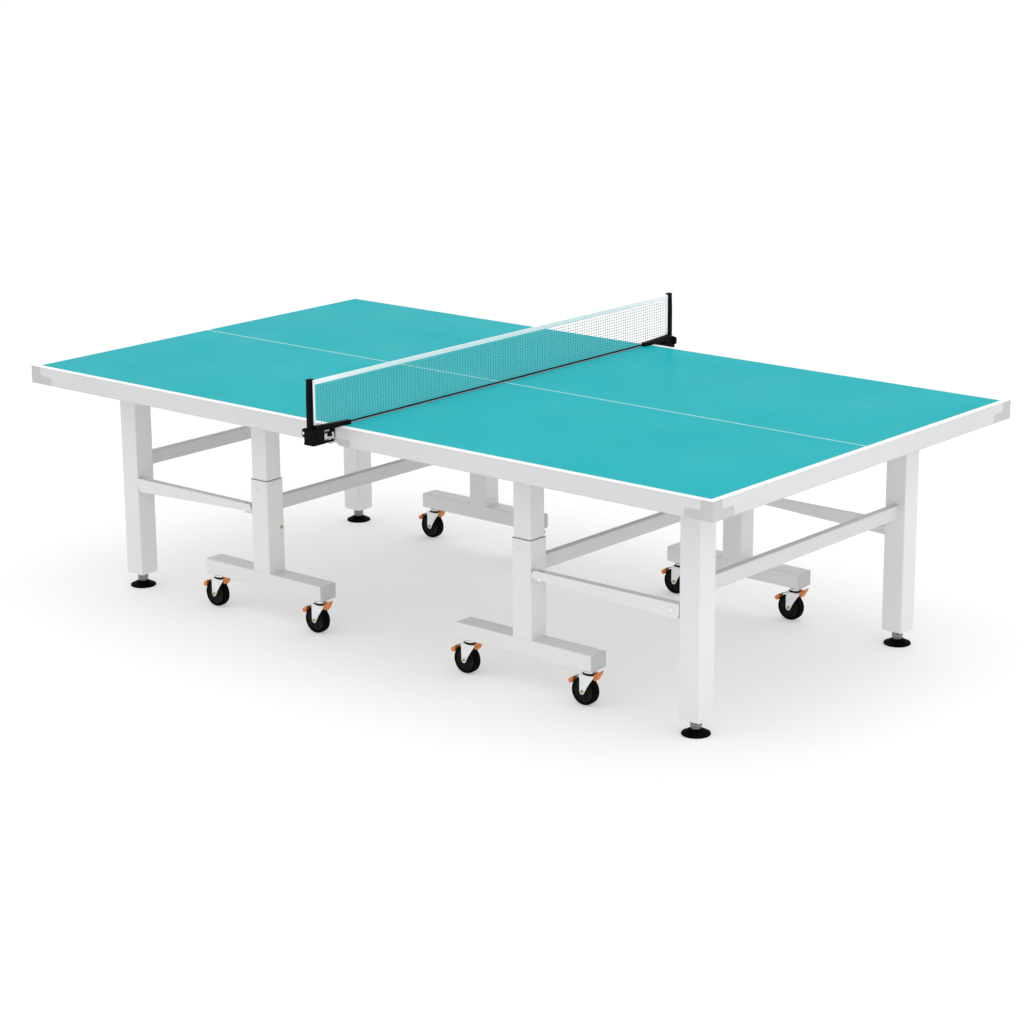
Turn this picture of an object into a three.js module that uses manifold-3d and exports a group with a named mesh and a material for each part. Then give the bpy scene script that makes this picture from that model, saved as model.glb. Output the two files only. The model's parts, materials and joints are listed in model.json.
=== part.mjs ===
// Folding ping pong table: two halves on wheeled leg frames, with a clamp-on net set.
// Millimetres, +Z up. Origin on the floor under the middle of the net, +X along the length.
// Each half is drawn as the +X one; the -X half is the same unit turned half a turn about Z.
import * as THREE from "three";
import { mergeVertices } from "three/addons/utils/BufferGeometryUtils.js";
import Module from "manifold-3d";

const wasm = await Module();
wasm.setup();

// Overall sizes
const tableLength = 2740; // over the two end aprons
const tableWidth = 1525; // over the two side aprons
const tableHeight = 760; // floor to playing surface
const halfGap = 3; // inner apron face of each half to the middle plane

// Fits
const touchGap = 0.3; // between pieces that meet face to face
const pinClearance = 0.3; // radial, pin in hole
const hitClearance = 0.5; // between faces that pass or come to rest on each other

// Playing boards and top frames
const boardThickness = 25;
const apronDepth = 56; // playing surface down to the apron's lower edge
const apronWall = 2;
const apronDrop = 1; // apron's upper edge below the playing surface
const apronFlange = 25; // width of the folded-in lower and upper flanges
const apronRadius = 18; // lower edge at the net end
const railWidth = 20;
const crossMemberWidth = 30;
const crossMemberX = 700;

// Legs
const legX = 540; // wheel legs from the middle plane
const cornerLegInset = 224; // corner leg axis from the table's end
const legInset = 240.5; // leg axes from the table's side
const upperTube = 65;
const sleeveFit = 1.5; // each side, upper tube in its sleeve
const cornerTube = 72;
const tubeWall = 2;
const tubeRadius = 4; // outside corner radius of every tube
const cornerSteps = 3;
const sleeveTop = 466;
const tubeInsert = 200; // length of upper tube inside the sleeve
const cornerLegBottom = 47;
const footPlate = 5; // closes the corner leg's lower end

// Floor beams
const beamLength = 514;
const beamWidth = 70;
const beamHeight = 50;
const beamPlug = 3; // end plug's thickness
const swivelInset = 30; // caster swivel axis from the beam's end

// Cross-bars and side links
const barHeight = 45;
const barWidth = 25;
const endBarZ = 430;
const wheelBarZ = 380;
const linkZ = 358;
const linkWall = 2;
const linkPivotInset = 32; // link pivot from the leg face it folds against
const tabThickness = 8;
const tabHeight = 20;
const linkPinRadius = 5;

// Fold hinges
const hingeDrop = 16; // hinge axis below the board's underside
const hingeReach = 60; // top hinge from the wheel leg's axis, towards the net
const hingePinRadius = 6;
const bossRadius = 13;
const armThickness = 30;
const armGap = 7; // each side, between a hinge arm and its pair of rails
const gussetDrop = 62; // hinge gusset below the leg head

// Levelling feet
const padRadius = 42;
const padHeight = 18;
const collarRadius = 17;
const studRadius = 6;
const studLength = 60;

// Casters
const wheelRadius = 43;
const wheelWidth = 28;
const wheelRecess = 4; // web below the wheel's side faces
const treadHeight = 9;
const treadRound = 3; // tread edge to where the tyre's side rounds off
const hubRadius = 11;
const axleRadius = 4;
const forkSideGap = 1.5; // wheel side to fork plate
const forkPlate = 2.5;
const casterTrail = 17; // wheel axis behind the swivel axis
const crownGap = 8.5; // wheel to the underside of the fork's crown
const crownHalfLength = 26;
const forkTipRadius = 9;
const swivelPinRadius = 5;
const swivelPinLength = 14;
const housingRadius = 19;
const housingHeight = 16.5; // swivel housing above the crown
const housingGap = 1.5; // under the beam
const pedalPivotRise = 4; // above the wheel
const pedalHalfLength = 52;
const pedalDroop = 9;
const pedalThickness = 4;
const pedalWidth = 24;
const pedalTilt = 8.7; // degrees, +X end up when released
const pedalPinRadius = 2.5;

// Net set
const netHeight = 152.5; // above the playing surface
const netOverhang = 100; // post axis outside the board's side
const postSize = 16;
const postRise = 5.5; // post above the net's tape
const spigotRadius = 6;
const spigotLength = 30;
const blockHalfLength = 18;
const blockWidth = 48;
const blockDrop = 38; // clamp block below the playing surface
const blockRise = 9; // and above it
const jawThickness = 6;
const jawGap = 18; // jaw's end outside the table's side
const armReach = 54; // clamp arm inboard of the table's side
const armWidth = 15;
const armRootHeight = 19;
const armTipHeight = 12;
const armStart = 2; // clamp arm from the middle plane
const tongueThickness = 1.4;
const jawRoot = 2; // jaw and pad run this far into the block
const padDrop = 7; // clamp pad's top below the playing surface
const padThickness = 3;
const slotEnd = 5; // closes the slot between arm and pad
const clampScrewRadius = 4;
const clampScrewOffset = 30; // outside the table's side
const knobRadius = 9;
const knobTaper = 0.7; // top radius over bottom radius
const knobHeight = 8;
const knobDrop = 21; // below the playing surface
const tapeWidth = 14.5;
const tapeThickness = 3;
const meshThickness = 1;
const netFootGap = 0.8; // net foot above the playing surface
const footCordHeight = 3;

// Derived places
const edgeX = tableLength / 2;
const edgeY = tableWidth / 2;
const apronBottom = tableHeight - apronDepth;
const boardUnderside = tableHeight - boardThickness;
const ledgeTop = boardUnderside - touchGap;
const hingeZ = boardUnderside - hingeDrop;
const cornerLegX = edgeX - cornerLegInset;
const legY = edgeY - legInset;
const sleeveTube = upperTube + 2 * (tubeWall + sleeveFit);
const crownBottom = 2 * wheelRadius + crownGap;
const crownTop = crownBottom + forkPlate;
const beamBottom = crownTop + housingHeight + housingGap;
const pedalPivotZ = 2 * wheelRadius + pedalPivotRise;
const blockBottom = tableHeight - blockDrop;
const blockTop = tableHeight + blockRise;
const knobBottom = tableHeight - knobDrop;
const foldX = legX - hingeReach;
const linkPivotX = legX + sleeveTube / 2 + linkPivotInset;
const linkFarPivotX = cornerLegX - cornerTube / 2 - linkPivotInset;
const armPivotX = foldX + (linkFarPivotX - linkPivotX); // parallelogram with the link
const webGap = armThickness / 2 + armGap; // hinge arm's mid-plane to a rail web
const linkY = legY + cornerTube / 2 - barWidth / 2;
const screwX = armStart + armWidth / 2;
const postOuterY = edgeY + netOverhang + postSize / 2;
const beamTop = beamBottom + beamHeight;
const legHead = apronBottom - hitClearance;

const colours = {
  board: [0x40b7be, 0.35, 0],
  frame: [0xd8d9da, 0.45, 0.1],
  leg: [0xdcddde, 0.4, 0.1],
  zinc: [0xc9cdd0, 0.3, 0.9],
  rubber: [0x121212, 0.6, 0],
  pedal: [0xd9772b, 0.45, 0],
  clamp: [0x141516, 0.5, 0],
  mesh: [0x2b3a3c, 0.8, 0],
  tape: [0xf4f5f6, 0.7, 0],
};

// An outline's (x, y) and depth turned to lie along Y or X: (x, z, -y) and (y, z, x).
const alongY = new THREE.Matrix4().makeBasis(
  new THREE.Vector3(1, 0, 0),
  new THREE.Vector3(0, 0, 1),
  new THREE.Vector3(0, -1, 0),
);
const alongX = new THREE.Matrix4().makeBasis(
  new THREE.Vector3(0, 1, 0),
  new THREE.Vector3(0, 0, 1),
  new THREE.Vector3(1, 0, 0),
);

// A closed three.js geometry as a manifold solid.
function solid(geometry) {
  const bare = geometry.clone();
  bare.deleteAttribute("normal");
  bare.deleteAttribute("uv");
  const merged = mergeVertices(bare, 1e-4);
  return new wasm.Manifold(
    new wasm.Mesh({
      numProp: 3,
      vertProperties: merged.attributes.position.array,
      triVerts: new Uint32Array(merged.index.array),
    }),
  );
}

// A manifold solid back as a three.js geometry.
function geometryOf(body) {
  const mesh = body.getMesh();
  const geometry = new THREE.BufferGeometry();
  geometry.setAttribute("position", new THREE.BufferAttribute(mesh.vertProperties, 3));
  geometry.setIndex(new THREE.BufferAttribute(mesh.triVerts, 1));
  geometry.computeVertexNormals();
  return geometry;
}

function join(first, ...others) {
  return others.reduce((sum, next) => sum.add(next), first);
}

function cut(first, ...others) {
  return others.reduce((rest, next) => rest.subtract(next), first);
}

function box([x0, x1], [y0, y1], [z0, z1]) {
  const block = new THREE.BoxGeometry(x1 - x0, y1 - y0, z1 - z0);
  return solid(block.translate((x0 + x1) / 2, (y0 + y1) / 2, (z0 + z1) / 2));
}

// A range of the given width about a middle value.
function about(middle, width) {
  return [middle - width / 2, middle + width / 2];
}

// A range on one side of the centre line, sorted, from distances measured outwards.
function outwards(ySign, inner, outer) {
  return ySign > 0 ? [inner, outer] : [-outer, -inner];
}

function extrude(shape, depth, curveSegments) {
  return new THREE.ExtrudeGeometry(shape, { depth, bevelEnabled: false, curveSegments });
}

// An outline in (x, z) extruded along Y.
function prismY(shape, [y0, y1], segments = 4) {
  return solid(extrude(shape, y1 - y0, segments).applyMatrix4(alongY).translate(0, y1, 0));
}

function polygon(points) {
  return new THREE.Shape(points.map(([x, z]) => new THREE.Vector2(x, z)));
}

function cylinderZ(radius, x, y, [z0, z1], segments = 12) {
  const body = new THREE.CylinderGeometry(radius, radius, z1 - z0, segments);
  return solid(body.applyMatrix4(alongY).translate(x, y, (z0 + z1) / 2));
}

function cylinderY(radius, x, z, [y0, y1], segments = 12) {
  const body = new THREE.CylinderGeometry(radius, radius, y1 - y0, segments);
  return solid(body.translate(x, (y0 + y1) / 2, z));
}

// A profile of [radius, height] points spun about Z.
function spinZ(points, segments) {
  const profile = points.map(([r, z]) => new THREE.Vector2(r, z));
  const body = new THREE.LatheGeometry(profile, segments);
  return solid(body.applyMatrix4(alongY));
}

function roundedRect(width, height, radius) {
  const w = width / 2 - radius;
  const h = height / 2 - radius;
  const shape = new THREE.Shape();
  shape.moveTo(w + radius, -h);
  shape.absarc(w, h, radius, 0, Math.PI / 2);
  shape.absarc(-w, h, radius, Math.PI / 2, Math.PI);
  shape.absarc(-w, -h, radius, Math.PI, 1.5 * Math.PI);
  shape.absarc(w, -h, radius, 1.5 * Math.PI, 2 * Math.PI);
  return shape;
}

// A bar of rounded section from start to end of its run, with the turn that lays it down.
function bar([width, height], radius, [start, end], turn) {
  const body = extrude(roundedRect(width, height, radius), end - start, cornerSteps);
  if (turn === alongY) return solid(body.applyMatrix4(turn).translate(0, end, 0));
  return solid(body.translate(0, 0, start).applyMatrix4(turn));
}

// A rounded tube, open at both ends, or with a floor of the given thickness at each named end.
function tube([width, height], [start, end], turn, startFloor = -1, endFloor = -1) {
  const inside = [width - 2 * tubeWall, height - 2 * tubeWall];
  const run = [start + startFloor, end - endFloor];
  return cut(
    bar([width, height], tubeRadius, [start, end], turn),
    bar(inside, tubeRadius - tubeWall, run, turn),
  );
}

// A square tube standing at (x, y), open at the top.
function standingTube(size, x, y, run, floor) {
  return tube([size, size], run, new THREE.Matrix4(), floor).translate([x, y, 0]);
}

function makeMesh(name, body, finish) {
  const [color, roughness, metalness] = colours[finish];
  const material = new THREE.MeshStandardMaterial({ color, roughness, metalness });
  const mesh = new THREE.Mesh(geometryOf(body), material);
  mesh.name = name;
  return mesh;
}

// Playing board: a plain slab inside the apron.
function playingBoard() {
  const inset = apronWall + hitClearance;
  const halfWidth = edgeY - inset;
  return box([halfGap + inset, edgeX - inset], [-halfWidth, halfWidth], [boardUnderside, tableHeight]);
}

// Side view of the top frame, drawn inset by a wall, with the round lower edge at the net end.
function apronOutline(inset, top) {
  const x0 = halfGap + inset;
  const x1 = edgeX - inset;
  const z0 = apronBottom + inset;
  const radius = apronRadius - inset;
  const shape = new THREE.Shape();
  shape.moveTo(x1, z0);
  shape.lineTo(x1, top);
  shape.lineTo(x0, top);
  shape.lineTo(x0, z0 + radius);
  shape.absarc(x0 + radius, z0 + radius, radius, Math.PI, 1.5 * Math.PI);
  return shape;
}

// One channel-section rail of a pair; its web faces the hinge arm.
function rail(ySign, towardsCentre) {
  const away = towardsCentre ? -1 : 1;
  const web = legY + away * webGap;
  const back = web + away * apronWall;
  const lip = web + away * railWidth;
  const along = [halfGap + apronRadius + apronWall, edgeX - apronWall / 2];
  const spread = (a, b) => outwards(ySign, Math.min(a, b), Math.max(a, b));
  const low = apronBottom + apronWall / 2;
  const high = ledgeTop - apronWall / 2;
  return cut(
    box(along, spread(web, lip), [low, high]),
    box([along[0] - 1, along[1] + 1], spread(back, lip + away), [low + apronWall, high - apronWall]),
  );
}

// Channel between the two rail pairs, under the middle of the board.
function crossMember() {
  const reach = legY - webGap - apronWall / 2;
  const along = [-reach, reach];
  const width = about(crossMemberX, crossMemberWidth);
  const low = apronBottom + 0.75 * apronWall;
  const high = ledgeTop - 0.75 * apronWall;
  return cut(
    box(width, along, [low, high]),
    box([width[0] + apronWall, width[1] + 1], [-edgeY, edgeY], [low + apronWall, high - apronWall]),
  );
}

// Top frame: apron tray with its flanges, two pairs of rails, cross member and hinge pins.
function topFrame() {
  const topEdge = tableHeight - apronDrop;
  const inY = edgeY - apronWall;
  const flangeY = edgeY - apronFlange;
  const flangeX = [halfGap + apronFlange, edgeX - apronFlange];
  const apron = cut(
    prismY(apronOutline(0, topEdge), [-edgeY, edgeY]),
    prismY(apronOutline(apronWall, tableHeight + 1), [-inY, inY]),
    box(flangeX, [-flangeY, flangeY], [apronBottom - 1, apronBottom + apronWall + 1]),
  );
  const insideWall = apronWall / 2;
  const ledge = cut(
    box(
      [halfGap + insideWall, edgeX - insideWall],
      [-edgeY + insideWall, edgeY - insideWall],
      [ledgeTop - apronWall, ledgeTop],
    ),
    box(flangeX, [-flangeY, flangeY], [ledgeTop - apronWall - 1, ledgeTop + 1]),
  );
  const pieces = [ledge, crossMember()];
  for (const ySign of [-1, 1]) {
    pieces.push(rail(ySign, true), rail(ySign, false));
    const pinY = outwards(ySign, legY - webGap - apronWall / 2, legY + webGap + apronWall / 2);
    for (const x of [foldX, armPivotX]) pieces.push(cylinderY(hingePinRadius, x, hingeZ, pinY));
  }
  return join(apron, ...pieces);
}

// Tab on a leg face that carries one end of a side link, with its pin.
function linkTab(ySign, faceX, pivotX) {
  const root = faceX - Math.sign(pivotX - faceX) * (tubeWall / 2);
  const tabY = about(ySign * linkY, tabThickness);
  const alongX = [Math.min(root, pivotX), Math.max(root, pivotX)];
  return join(
    box(alongX, tabY, about(linkZ, tabHeight)),
    cylinderY(tabHeight / 2, pivotX, linkZ, tabY),
    cylinderY(linkPinRadius, pivotX, linkZ, about(ySign * linkY, barWidth - 2 * touchGap)),
  );
}

// Wheel base: floor beam with its swivel pins, lower leg sleeve and link tab, welded together.
// The beam's ends are plugged, and its hollow opens up into the sleeve.
function wheelBase(ySign) {
  const y = ySign * legY;
  const beamX = about(legX, beamLength);
  const beamTube = tube([beamWidth, beamHeight], beamX, alongX, beamPlug, beamPlug);
  const window = sleeveTube - 2 * tubeRadius - 2 * tubeWall;
  const beam = cut(
    beamTube.translate([0, y, beamBottom + beamHeight / 2]),
    box(about(legX, window), about(y, window), [beamTop - 2 * tubeWall, beamTop + 1]),
  );
  const pinZ = [beamBottom - swivelPinLength, beamBottom + tubeWall / 2];
  const pins = beamX.map((end) => {
    const x = end + Math.sign(legX - end) * swivelInset;
    return cylinderZ(swivelPinRadius, x, y, pinZ);
  });
  const sleeve = standingTube(sleeveTube, legX, y, [beamTop - tubeWall / 2, sleeveTop]);
  return join(beam, sleeve, ...pins, linkTab(ySign, legX + sleeveTube / 2, linkPivotX));
}

// Upper leg tube with the arm that carries the top's fold hinge.
function wheelLegUpper(ySign) {
  const y = ySign * legY;
  const faceX = legX - upperTube / 2;
  const post = standingTube(upperTube, legX, y, [sleeveTop - tubeInsert, legHead - hitClearance]);
  const root = faceX + 3 * tubeWall;
  const low = bossRadius * Math.SQRT1_2;
  const gusset = polygon([
    [foldX, hingeZ + bossRadius],
    [foldX - low, hingeZ - low],
    [faceX, legHead - gussetDrop],
    [root, legHead - gussetDrop],
    [root, legHead - hitClearance],
  ]);
  const armY = about(y, armThickness);
  return cut(
    join(post, prismY(gusset, armY), cylinderY(bossRadius, foldX, hingeZ, armY, 16)),
    cylinderY(hingePinRadius + pinClearance, foldX, hingeZ, about(y, armThickness + 2)),
  );
}

// Corner leg with the arm that hangs it under the top, its link tab and its foot plate.
function cornerLeg(ySign) {
  const y = ySign * legY;
  const netFace = cornerLegX - cornerTube / 2;
  const inside = netFace + cornerTube - 2 * tubeWall;
  const post = standingTube(cornerTube, cornerLegX, y, [cornerLegBottom, legHead], footPlate);
  const armY = about(y, armThickness);
  const arm = polygon([
    [armPivotX, hingeZ + bossRadius],
    [armPivotX, hingeZ - bossRadius],
    [netFace - gussetDrop / 2, hingeZ - bossRadius],
    [netFace + tubeWall / 2, legHead - gussetDrop],
    [inside, legHead - gussetDrop],
    [inside, hingeZ + bossRadius],
  ]);
  const around = about(y, armThickness + 2);
  return cut(
    join(
      post,
      prismY(arm, armY),
      cylinderY(bossRadius, armPivotX, hingeZ, armY, 16),
      linkTab(ySign, netFace, linkFarPivotX),
    ),
    cylinderY(hingePinRadius + pinClearance, armPivotX, hingeZ, around),
    cylinderZ(studRadius + pinClearance, cornerLegX, y, [0, cornerLegBottom + footPlate + 1]),
  );
}

// Side view of a link: the two corners that swing past the legs are rounded about their pivots.
function linkOutline() {
  const radius = linkPivotInset - hitClearance;
  const half = barHeight / 2;
  const corner = Math.asin(half / radius);
  const shape = new THREE.Shape();
  shape.moveTo(linkPivotX - radius, linkZ - half);
  shape.absarc(linkFarPivotX, linkZ, radius, -corner, 0);
  shape.lineTo(linkFarPivotX + radius, linkZ + half);
  shape.absarc(linkPivotX, linkZ, radius, Math.PI - corner, Math.PI);
  return shape;
}

// Side link: hollow bar that hides a leg tab in each end; a slot lets each tab swing out.
function sideLink(ySign) {
  const y = ySign * linkY;
  const ends = [linkPivotX - linkPivotInset, linkFarPivotX + linkPivotInset];
  const top = linkZ + barHeight / 2;
  const bottom = linkZ - barHeight / 2;
  const slotY = about(y, tabThickness + 2);
  const slotReach = tabHeight / 2 + 1;
  const holes = [linkPivotX, linkFarPivotX].map((x) =>
    cylinderY(linkPinRadius + pinClearance, x, linkZ, about(y, barWidth + 2)),
  );
  return cut(
    prismY(linkOutline(), about(y, barWidth)),
    box(ends, about(y, barWidth - 2 * linkWall), about(linkZ, barHeight - 2 * linkWall)),
    box([ends[0], linkPivotX + slotReach], slotY, [linkZ, top + 1]),
    box([linkFarPivotX - slotReach, ends[1]], slotY, [bottom - 1, linkZ]),
    ...holes,
  );
}

// Cross-bar between two legs, short of each leg face by a gap.
function crossBar(x, z, legSize) {
  const reach = legY - legSize / 2 - touchGap;
  return tube([barWidth, barHeight], [-reach, reach], alongY).translate([x, 0, z]);
}

// Levelling foot: domed pad, collar and threaded stud.
function levellingFoot(ySign) {
  const collarTop = cornerLegBottom - touchGap;
  const body = spinZ(
    [
      [0, 0],
      [padRadius, 0],
      [padRadius, padHeight * 0.35],
      [padRadius * 0.82, padHeight * 0.8],
      [collarRadius * 1.2, padHeight],
      [collarRadius, padHeight],
      [collarRadius, collarTop],
      [studRadius, collarTop],
      [studRadius, collarTop + studLength],
      [0, collarTop + studLength],
    ],
    20,
  );
  return body.translate([cornerLegX, ySign * legY, 0]);
}

// Caster fork, drawn about its swivel axis with the wheel axis trailing towards -X.
function casterFork() {
  const plateInside = wheelWidth / 2 + forkSideGap;
  const plateOutside = plateInside + forkPlate;
  const backX = -casterTrail - forkTipRadius;
  const cheek = polygon([
    [backX, crownTop],
    [backX, wheelRadius],
    [-casterTrail + forkTipRadius, wheelRadius],
    [crownHalfLength, crownBottom],
    [crownHalfLength, crownTop],
  ]);
  const across = [-plateOutside, plateOutside];
  const pieces = [box([backX, crownHalfLength], across, [crownBottom, crownTop])];
  for (const side of [-1, 1]) {
    const plateY = outwards(side, plateInside, plateOutside);
    pieces.push(prismY(cheek, plateY));
    pieces.push(cylinderY(forkTipRadius, -casterTrail, wheelRadius, plateY));
  }
  const housingTop = beamBottom - housingGap;
  pieces.push(cylinderZ(housingRadius, 0, 0, [crownTop - forkPlate / 2, housingTop], 16));
  const pinHole = [beamBottom - swivelPinLength - 1, beamBottom];
  const pedalHoleY = [-plateOutside - 1, plateOutside + 1];
  return join(
    cut(
      join(...pieces),
      cylinderZ(swivelPinRadius + pinClearance, 0, 0, pinHole),
      cylinderY(pedalPinRadius + pinClearance, -casterTrail, pedalPivotZ, pedalHoleY, 8),
    ),
    cylinderY(axleRadius, -casterTrail, wheelRadius, across, 12),
  );
}

// Caster wheel, standing on a facet so that its lowest face is on the floor.
function casterWheel() {
  const segments = 20;
  const outer = wheelRadius / Math.cos(Math.PI / segments);
  const half = wheelWidth / 2;
  const bore = axleRadius + pinClearance;
  const hubHalf = half + forkSideGap / 2;
  const webHalf = half - wheelRecess;
  const profile = [
    [bore, -hubHalf],
    [hubRadius, -hubHalf],
    [hubRadius, -webHalf],
    [outer - treadHeight, -webHalf],
    [outer - wheelRecess, -half],
    [outer, -half + treadRound],
    [outer, half - treadRound],
    [outer - wheelRecess, half],
    [outer - treadHeight, webHalf],
    [hubRadius, webHalf],
    [hubRadius, hubHalf],
    [bore, hubHalf],
    [bore, -hubHalf],
  ];
  const points = profile.map(([r, along]) => new THREE.Vector2(r, along));
  const body = new THREE.LatheGeometry(points, segments, Math.PI / segments);
  return solid(body.translate(-casterTrail, 0, wheelRadius));
}

// Brake pedal: an arched rocker over the wheel, tilted to its released position.
function brakePedal() {
  const steps = 4;
  const upper = [];
  const lower = [];
  for (let i = 0; i <= steps; i++) {
    const t = (2 * i) / steps - 1;
    const x = t * pedalHalfLength;
    const z = -pedalDroop * t * t;
    lower.push([x, z - pedalThickness / 2]);
    upper.unshift([x, z + pedalThickness / 2]);
  }
  const width = pedalWidth;
  const pinReach = wheelWidth + 2 * (forkSideGap + forkPlate);
  const rocker = join(
    prismY(polygon([...lower, ...upper]), about(0, width)),
    cylinderY(pedalPinRadius, 0, 0, about(0, pinReach), 8),
  );
  return rocker.rotate([0, -pedalTilt, 0]).translate([-casterTrail, 0, pedalPivotZ]);
}

// Net clamp on one side: block, arm over the board with a tongue that hangs between the halves,
// a slot under the arm closed by the pad, and the lower jaw that carries the screw.
function netClamp(ySign) {
  const rootY = postOuterY - blockWidth + jawRoot;
  const jawY = edgeY + jawGap;
  const armBottom = tableHeight + touchGap;
  const padTop = tableHeight - padDrop;
  const padBottom = padTop - padThickness;
  const jawTop = blockBottom + jawThickness;
  const armX = [armStart, armStart + armWidth];
  const blockY = outwards(ySign, postOuterY - blockWidth, postOuterY);
  const block = box(about(0, 2 * blockHalfLength), blockY, [blockBottom, blockTop]);
  const spread = outwards(ySign, edgeY - armReach, edgeY + netOverhang - postSize / 2 - touchGap);
  const [outerY, innerY] = ySign < 0 ? spread : [spread[1], spread[0]];
  const arm = wedgeArm(armX, outerY, innerY, armBottom);
  const jaw = box(armX, outwards(ySign, jawY, rootY), [blockBottom, jawTop]);
  const pad = box(armX, outwards(ySign, jawY, rootY), [padBottom, padTop]);
  const stopY = outwards(ySign, jawY, jawY + slotEnd);
  const stop = box(armX, stopY, [padBottom, armBottom + touchGap]);
  const tongueX = [halfGap - 2 * touchGap - tongueThickness, halfGap - 2 * touchGap];
  const tongueY = outwards(ySign, edgeY - armReach, edgeY);
  const tongue = box(tongueX, tongueY, [jawTop, armBottom + touchGap]);
  const screwY = ySign * (edgeY + clampScrewOffset);
  const spigotHole = [blockTop - spigotLength - 1, blockTop + 1];
  return cut(
    join(block, arm, jaw, pad, stop, tongue),
    cylinderZ(clampScrewRadius + pinClearance, screwX, screwY, [blockBottom - 1, knobBottom]),
    cylinderZ(spigotRadius + pinClearance, 0, ySign * (edgeY + netOverhang), spigotHole),
  );
}

// Tapered arm along Y, flat underneath, tall at the post and low at its tip.
function wedgeArm([x0, x1], outerY, innerY, bottom) {
  const side = new THREE.Shape([
    new THREE.Vector2(outerY, bottom),
    new THREE.Vector2(innerY, bottom),
    new THREE.Vector2(innerY, bottom + armTipHeight),
    new THREE.Vector2(outerY, bottom + armRootHeight),
  ]);
  return solid(extrude(side, x1 - x0, 1).applyMatrix4(alongX).translate(x0, 0, 0));
}

// Net post with the spigot that stands in the clamp block.
function netPost(ySign) {
  const y = ySign * (edgeY + netOverhang);
  const top = tableHeight + netHeight + postRise;
  return join(
    box(about(0, postSize), about(y, postSize), [blockTop + touchGap, top]),
    cylinderZ(spigotRadius, 0, y, [blockTop - spigotLength, blockTop + 1]),
  );
}

// Clamp screw with its knob.
function clampScrew(ySign) {
  const tip = tableHeight - padDrop - padThickness - hitClearance;
  const body = spinZ(
    [
      [0, blockBottom - jawThickness],
      [clampScrewRadius, blockBottom - jawThickness],
      [clampScrewRadius, knobBottom],
      [knobRadius, knobBottom],
      [knobRadius * knobTaper, knobBottom + knobHeight],
      [clampScrewRadius, knobBottom + knobHeight],
      [clampScrewRadius, tip],
      [0, tip],
    ],
    16,
  );
  return body.translate([screwX, ySign * (edgeY + clampScrewOffset), 0]);
}

// Net mesh with the cord along its foot, as one plain sheet notched over the clamp blocks.
function netMesh() {
  const reach = postOuterY - postSize - 2 * touchGap - tapeWidth;
  const foot = tableHeight + netFootGap;
  const top = tableHeight + netHeight - tapeWidth - touchGap;
  const footReach = postOuterY - blockWidth - touchGap;
  const sheet = box(about(0, meshThickness), [-reach, reach], [foot + footCordHeight / 2, top]);
  const notches = [-1, 1].map((ySign) => {
    const beyond = outwards(ySign, footReach, reach + 1);
    return box(about(0, 2 * meshThickness), beyond, [foot, blockTop + touchGap]);
  });
  const cordReach = footReach - touchGap;
  const cord = box(about(0, tapeThickness), [-cordReach, cordReach], [foot, foot + footCordHeight]);
  return join(cut(sheet, ...notches), cord);
}

// White tape over the net and down both sides.
function netTape() {
  const outer = postOuterY - postSize - touchGap;
  const inner = outer - tapeWidth;
  const top = tableHeight + netHeight;
  const thick = about(0, tapeThickness);
  const sideZ = [tableHeight + armRootHeight + 1, top];
  return join(
    box(thick, [-outer, outer], [top - tapeWidth, top]),
    box(thick, [-outer, -inner], sideZ),
    box(thick, [inner, outer], sideZ),
  );
}

// One half of the table without its casters, drawn on the +X side.
function addHalf(group, halfName, side) {
  const half = new THREE.Group();
  const place = (name, body, finish) => half.add(makeMesh(`${halfName}_${name}`, body, finish));
  place("playing_board", playingBoard(), "board");
  place("top_frame", topFrame(), "frame");
  place("wheel_leg_crossbar", crossBar(legX, wheelBarZ, sleeveTube), "leg");
  place("corner_leg_crossbar", crossBar(cornerLegX, endBarZ, cornerTube), "leg");
  for (const ySign of [-1, 1]) {
    const row = ySign * side < 0 ? "near" : "far";
    place(`${row}_wheel_base`, wheelBase(ySign), "leg");
    place(`${row}_wheel_leg_upper`, wheelLegUpper(ySign), "leg");
    place(`${row}_corner_leg`, cornerLeg(ySign), "leg");
    place(`${row}_side_link`, sideLink(ySign), "leg");
    place(`${row}_levelling_foot`, levellingFoot(ySign), "rubber");
  }
  half.rotation.z = side > 0 ? 0 : Math.PI;
  group.add(half);
}

// The four casters of one half, all standing with their wheels towards -X of the swivels.
function addCasters(group, halfName, side) {
  const swivelReach = beamLength / 2 - swivelInset;
  for (const ySign of [-1, 1]) {
    for (const end of [-1, 1]) {
      const row = ySign < 0 ? "near" : "far";
      const place = end < 0 ? "inner" : "outer";
      const caster = new THREE.Group();
      const stem = `${halfName}_${row}_${place}`;
      caster.add(makeMesh(`${stem}_caster_fork`, casterFork(), "zinc"));
      caster.add(makeMesh(`${stem}_caster_wheel`, casterWheel(), "rubber"));
      caster.add(makeMesh(`${stem}_brake_pedal`, brakePedal(), "pedal"));
      caster.position.set(side * (legX + end * swivelReach), ySign * legY, 0);
      group.add(caster);
    }
  }
}

function addNetSet(group) {
  for (const ySign of [-1, 1]) {
    const row = ySign < 0 ? "near" : "far";
    group.add(makeMesh(`${row}_net_clamp`, netClamp(ySign), "clamp"));
    group.add(makeMesh(`${row}_net_post`, netPost(ySign), "clamp"));
    group.add(makeMesh(`${row}_clamp_screw`, clampScrew(ySign), "clamp"));
  }
  group.add(makeMesh("net_mesh", netMesh(), "mesh"));
  group.add(makeMesh("net_tape", netTape(), "tape"));
}

const group = new THREE.Group();
for (const [halfName, side] of [
  ["right", 1],
  ["left", -1],
]) {
  addHalf(group, halfName, side);
  addCasters(group, halfName, side);
}
addNetSet(group);

export default group;
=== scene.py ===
# Looks of the folding ping pong table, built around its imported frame.
# Metres, +Z up, origin on the floor under the middle of the net, +X along the table.
import json
import math
import random

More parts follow.
